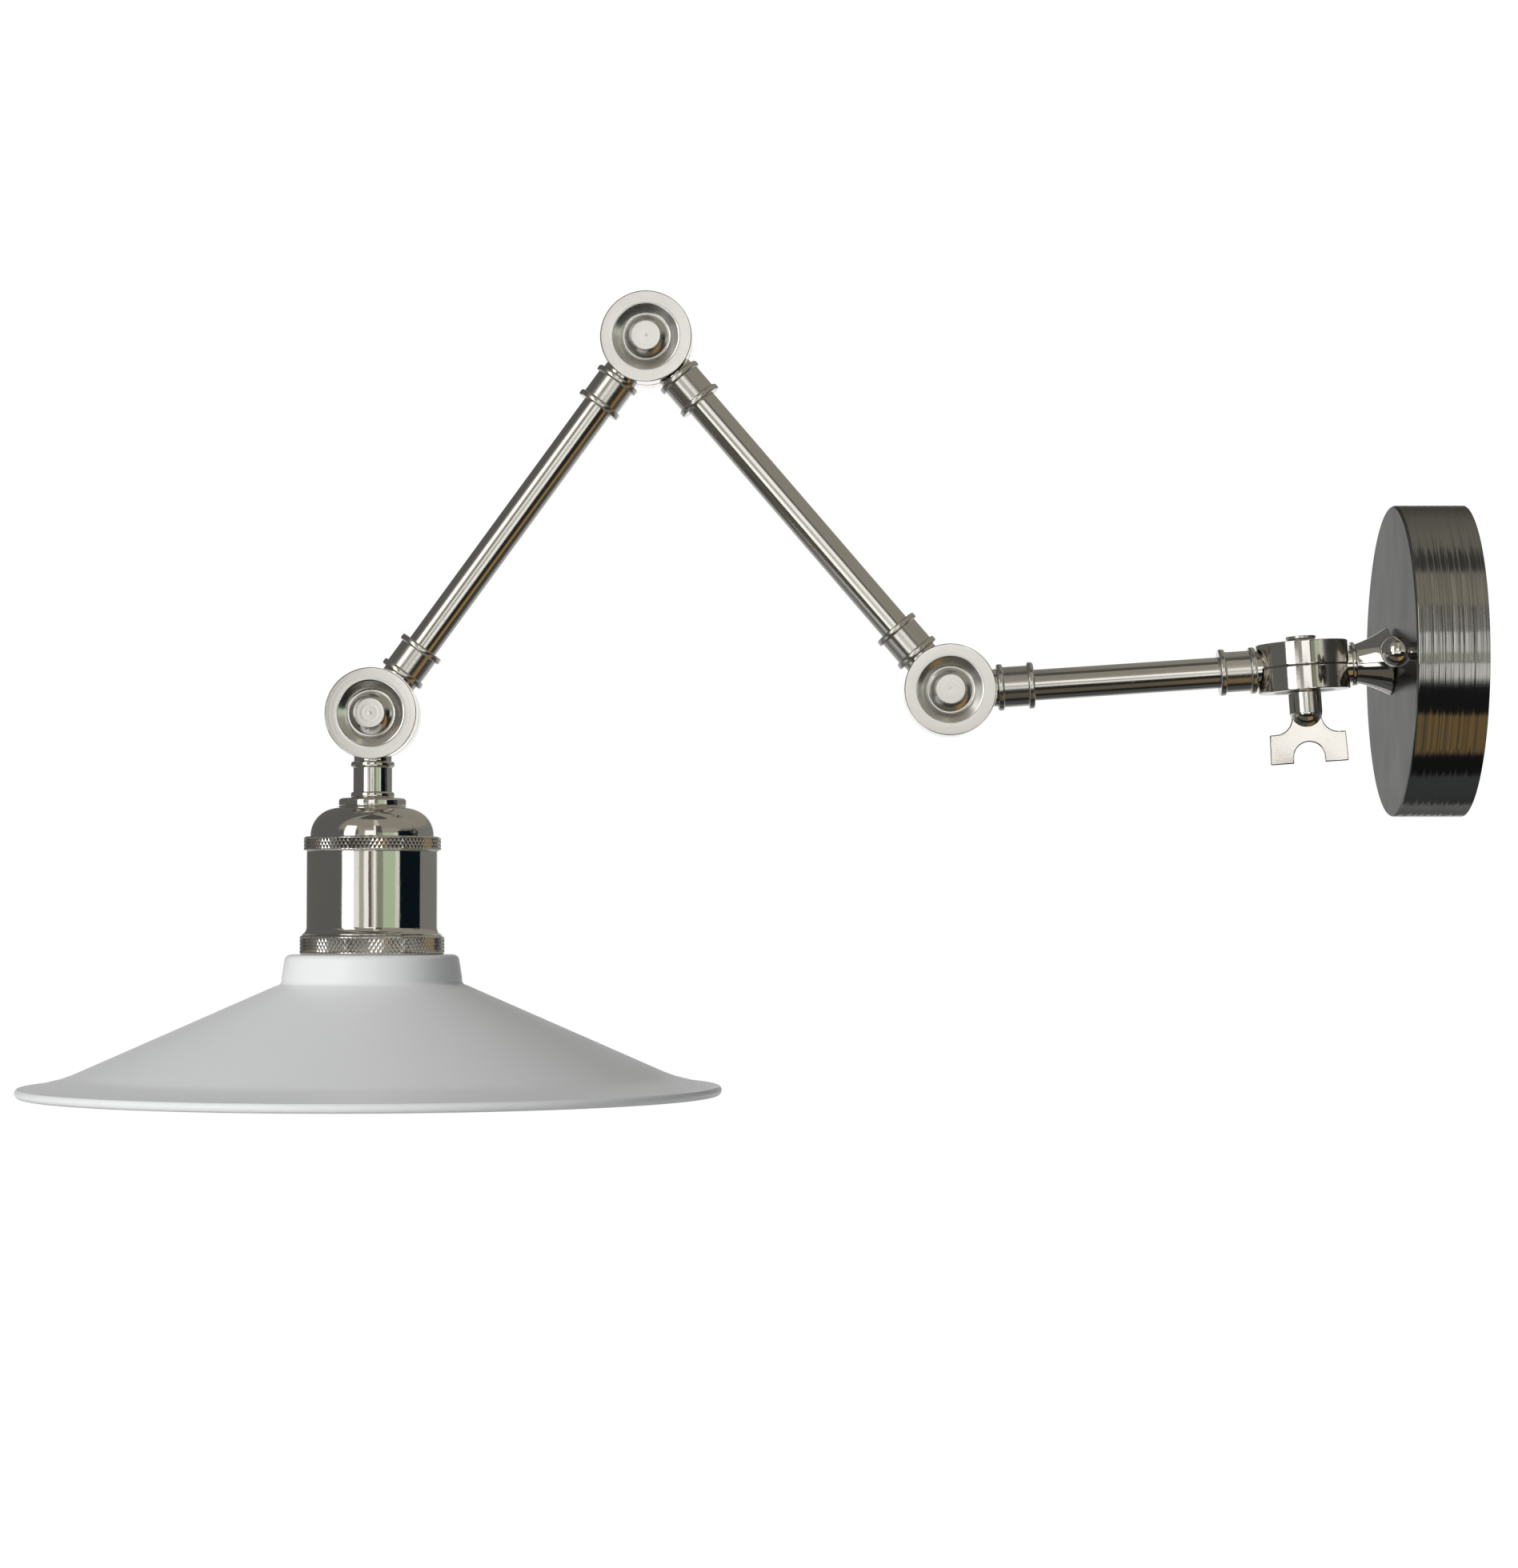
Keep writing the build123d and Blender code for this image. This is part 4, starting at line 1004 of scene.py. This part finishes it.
bpy.ops.mesh.primitive_plane_add(size=1, location=(TABLE_ACROSS, TABLE_AWAY, -TABLE_DROP))
table = bpy.context.object
table.name = "table_card"
table.scale = (11, 8, 1)
bpy.ops.object.transform_apply(location=False, rotation=False)
wood, surface, tools = new_finish("table_card", (0, 0, 0))
side = tools.node("ShaderNodeSeparateXYZ", {}, {0: place_of(tools)})
depth = side.beside("Y") + TABLE_AWAY
turn = tools.maths("ARCTAN2", side, depth * -1.0) * math.degrees(1)
brown = side.spread(0.24, 0.33).blend((0.12, 0.108, 0.085, 1), (0.34, 0.22, 0.085, 1))
tone = turn.band(-120, -47, 2).blend((0.018, 0.019, 0.02, 1), (0.11, 0.11, 0.105, 1))
tone = (turn.band(-38, -18, 2) * depth.band(-3.5, -1.1, 0.05)).blend(tone, (1.5, 1.5, 1.45, 1))
tone = (turn.band(-18, 13, 2) * depth.band(-8, -1.75, 0.3)).blend(tone, (0.95, 0.95, 0.92, 1))
tone = (turn.band(11, 26, 1) * depth.band(-8, -1.75, 0.45)).blend(tone, (1.3, 1.29, 1.25, 1))
tone = depth.band(-0.60, -0.17, 0.02).blend(tone, brown)
tone = depth.band(-0.13, 0.03, 0.02).blend(tone, (0.015, 0.015, 0.015, 1))
tone = depth.band(0.03, 0.47, 0.02).blend(tone, (0.085, 0.09, 0.095, 1))
tone = depth.band(0.50, 3.0, 0.03).blend(tone, (0.42, 0.42, 0.42, 1))
glow = tools.node("ShaderNodeEmission", {}, {"Color": tone, "Strength": 1.0})
glow.feeds(wood.node_tree.nodes["Material Output"], "Surface")
table.data.materials.append(wood)
table.visible_camera = table.visible_diffuse = table.visible_shadow = False

bpy.ops.object.light_add(type="AREA", location=(-2.0, -2.2, 1.0))
lamp = bpy.context.object
lamp.name = "soft_lamp"
lamp.data.shape = "DISK"
lamp.data.size = 1.3
lamp.data.energy = 66
lamp.visible_glossy = False
lamp.rotation_euler = (Vector((-0.25, 0, 0)) - lamp.location).to_track_quat("-Z", "Y").to_euler()

camera = bpy.data.objects.new("camera", bpy.data.cameras.new("camera"))
bpy.context.collection.objects.link(camera)
camera.location = (-0.2124, -1.150, -0.0831)
camera.rotation_euler = (math.radians(90 + 2.1783), 0, math.radians(0.6602))
camera.data.lens = 82.08
camera.data.sensor_width = 36
bpy.context.scene.camera = camera
bpy.context.scene.view_settings.view_transform = "Standard"
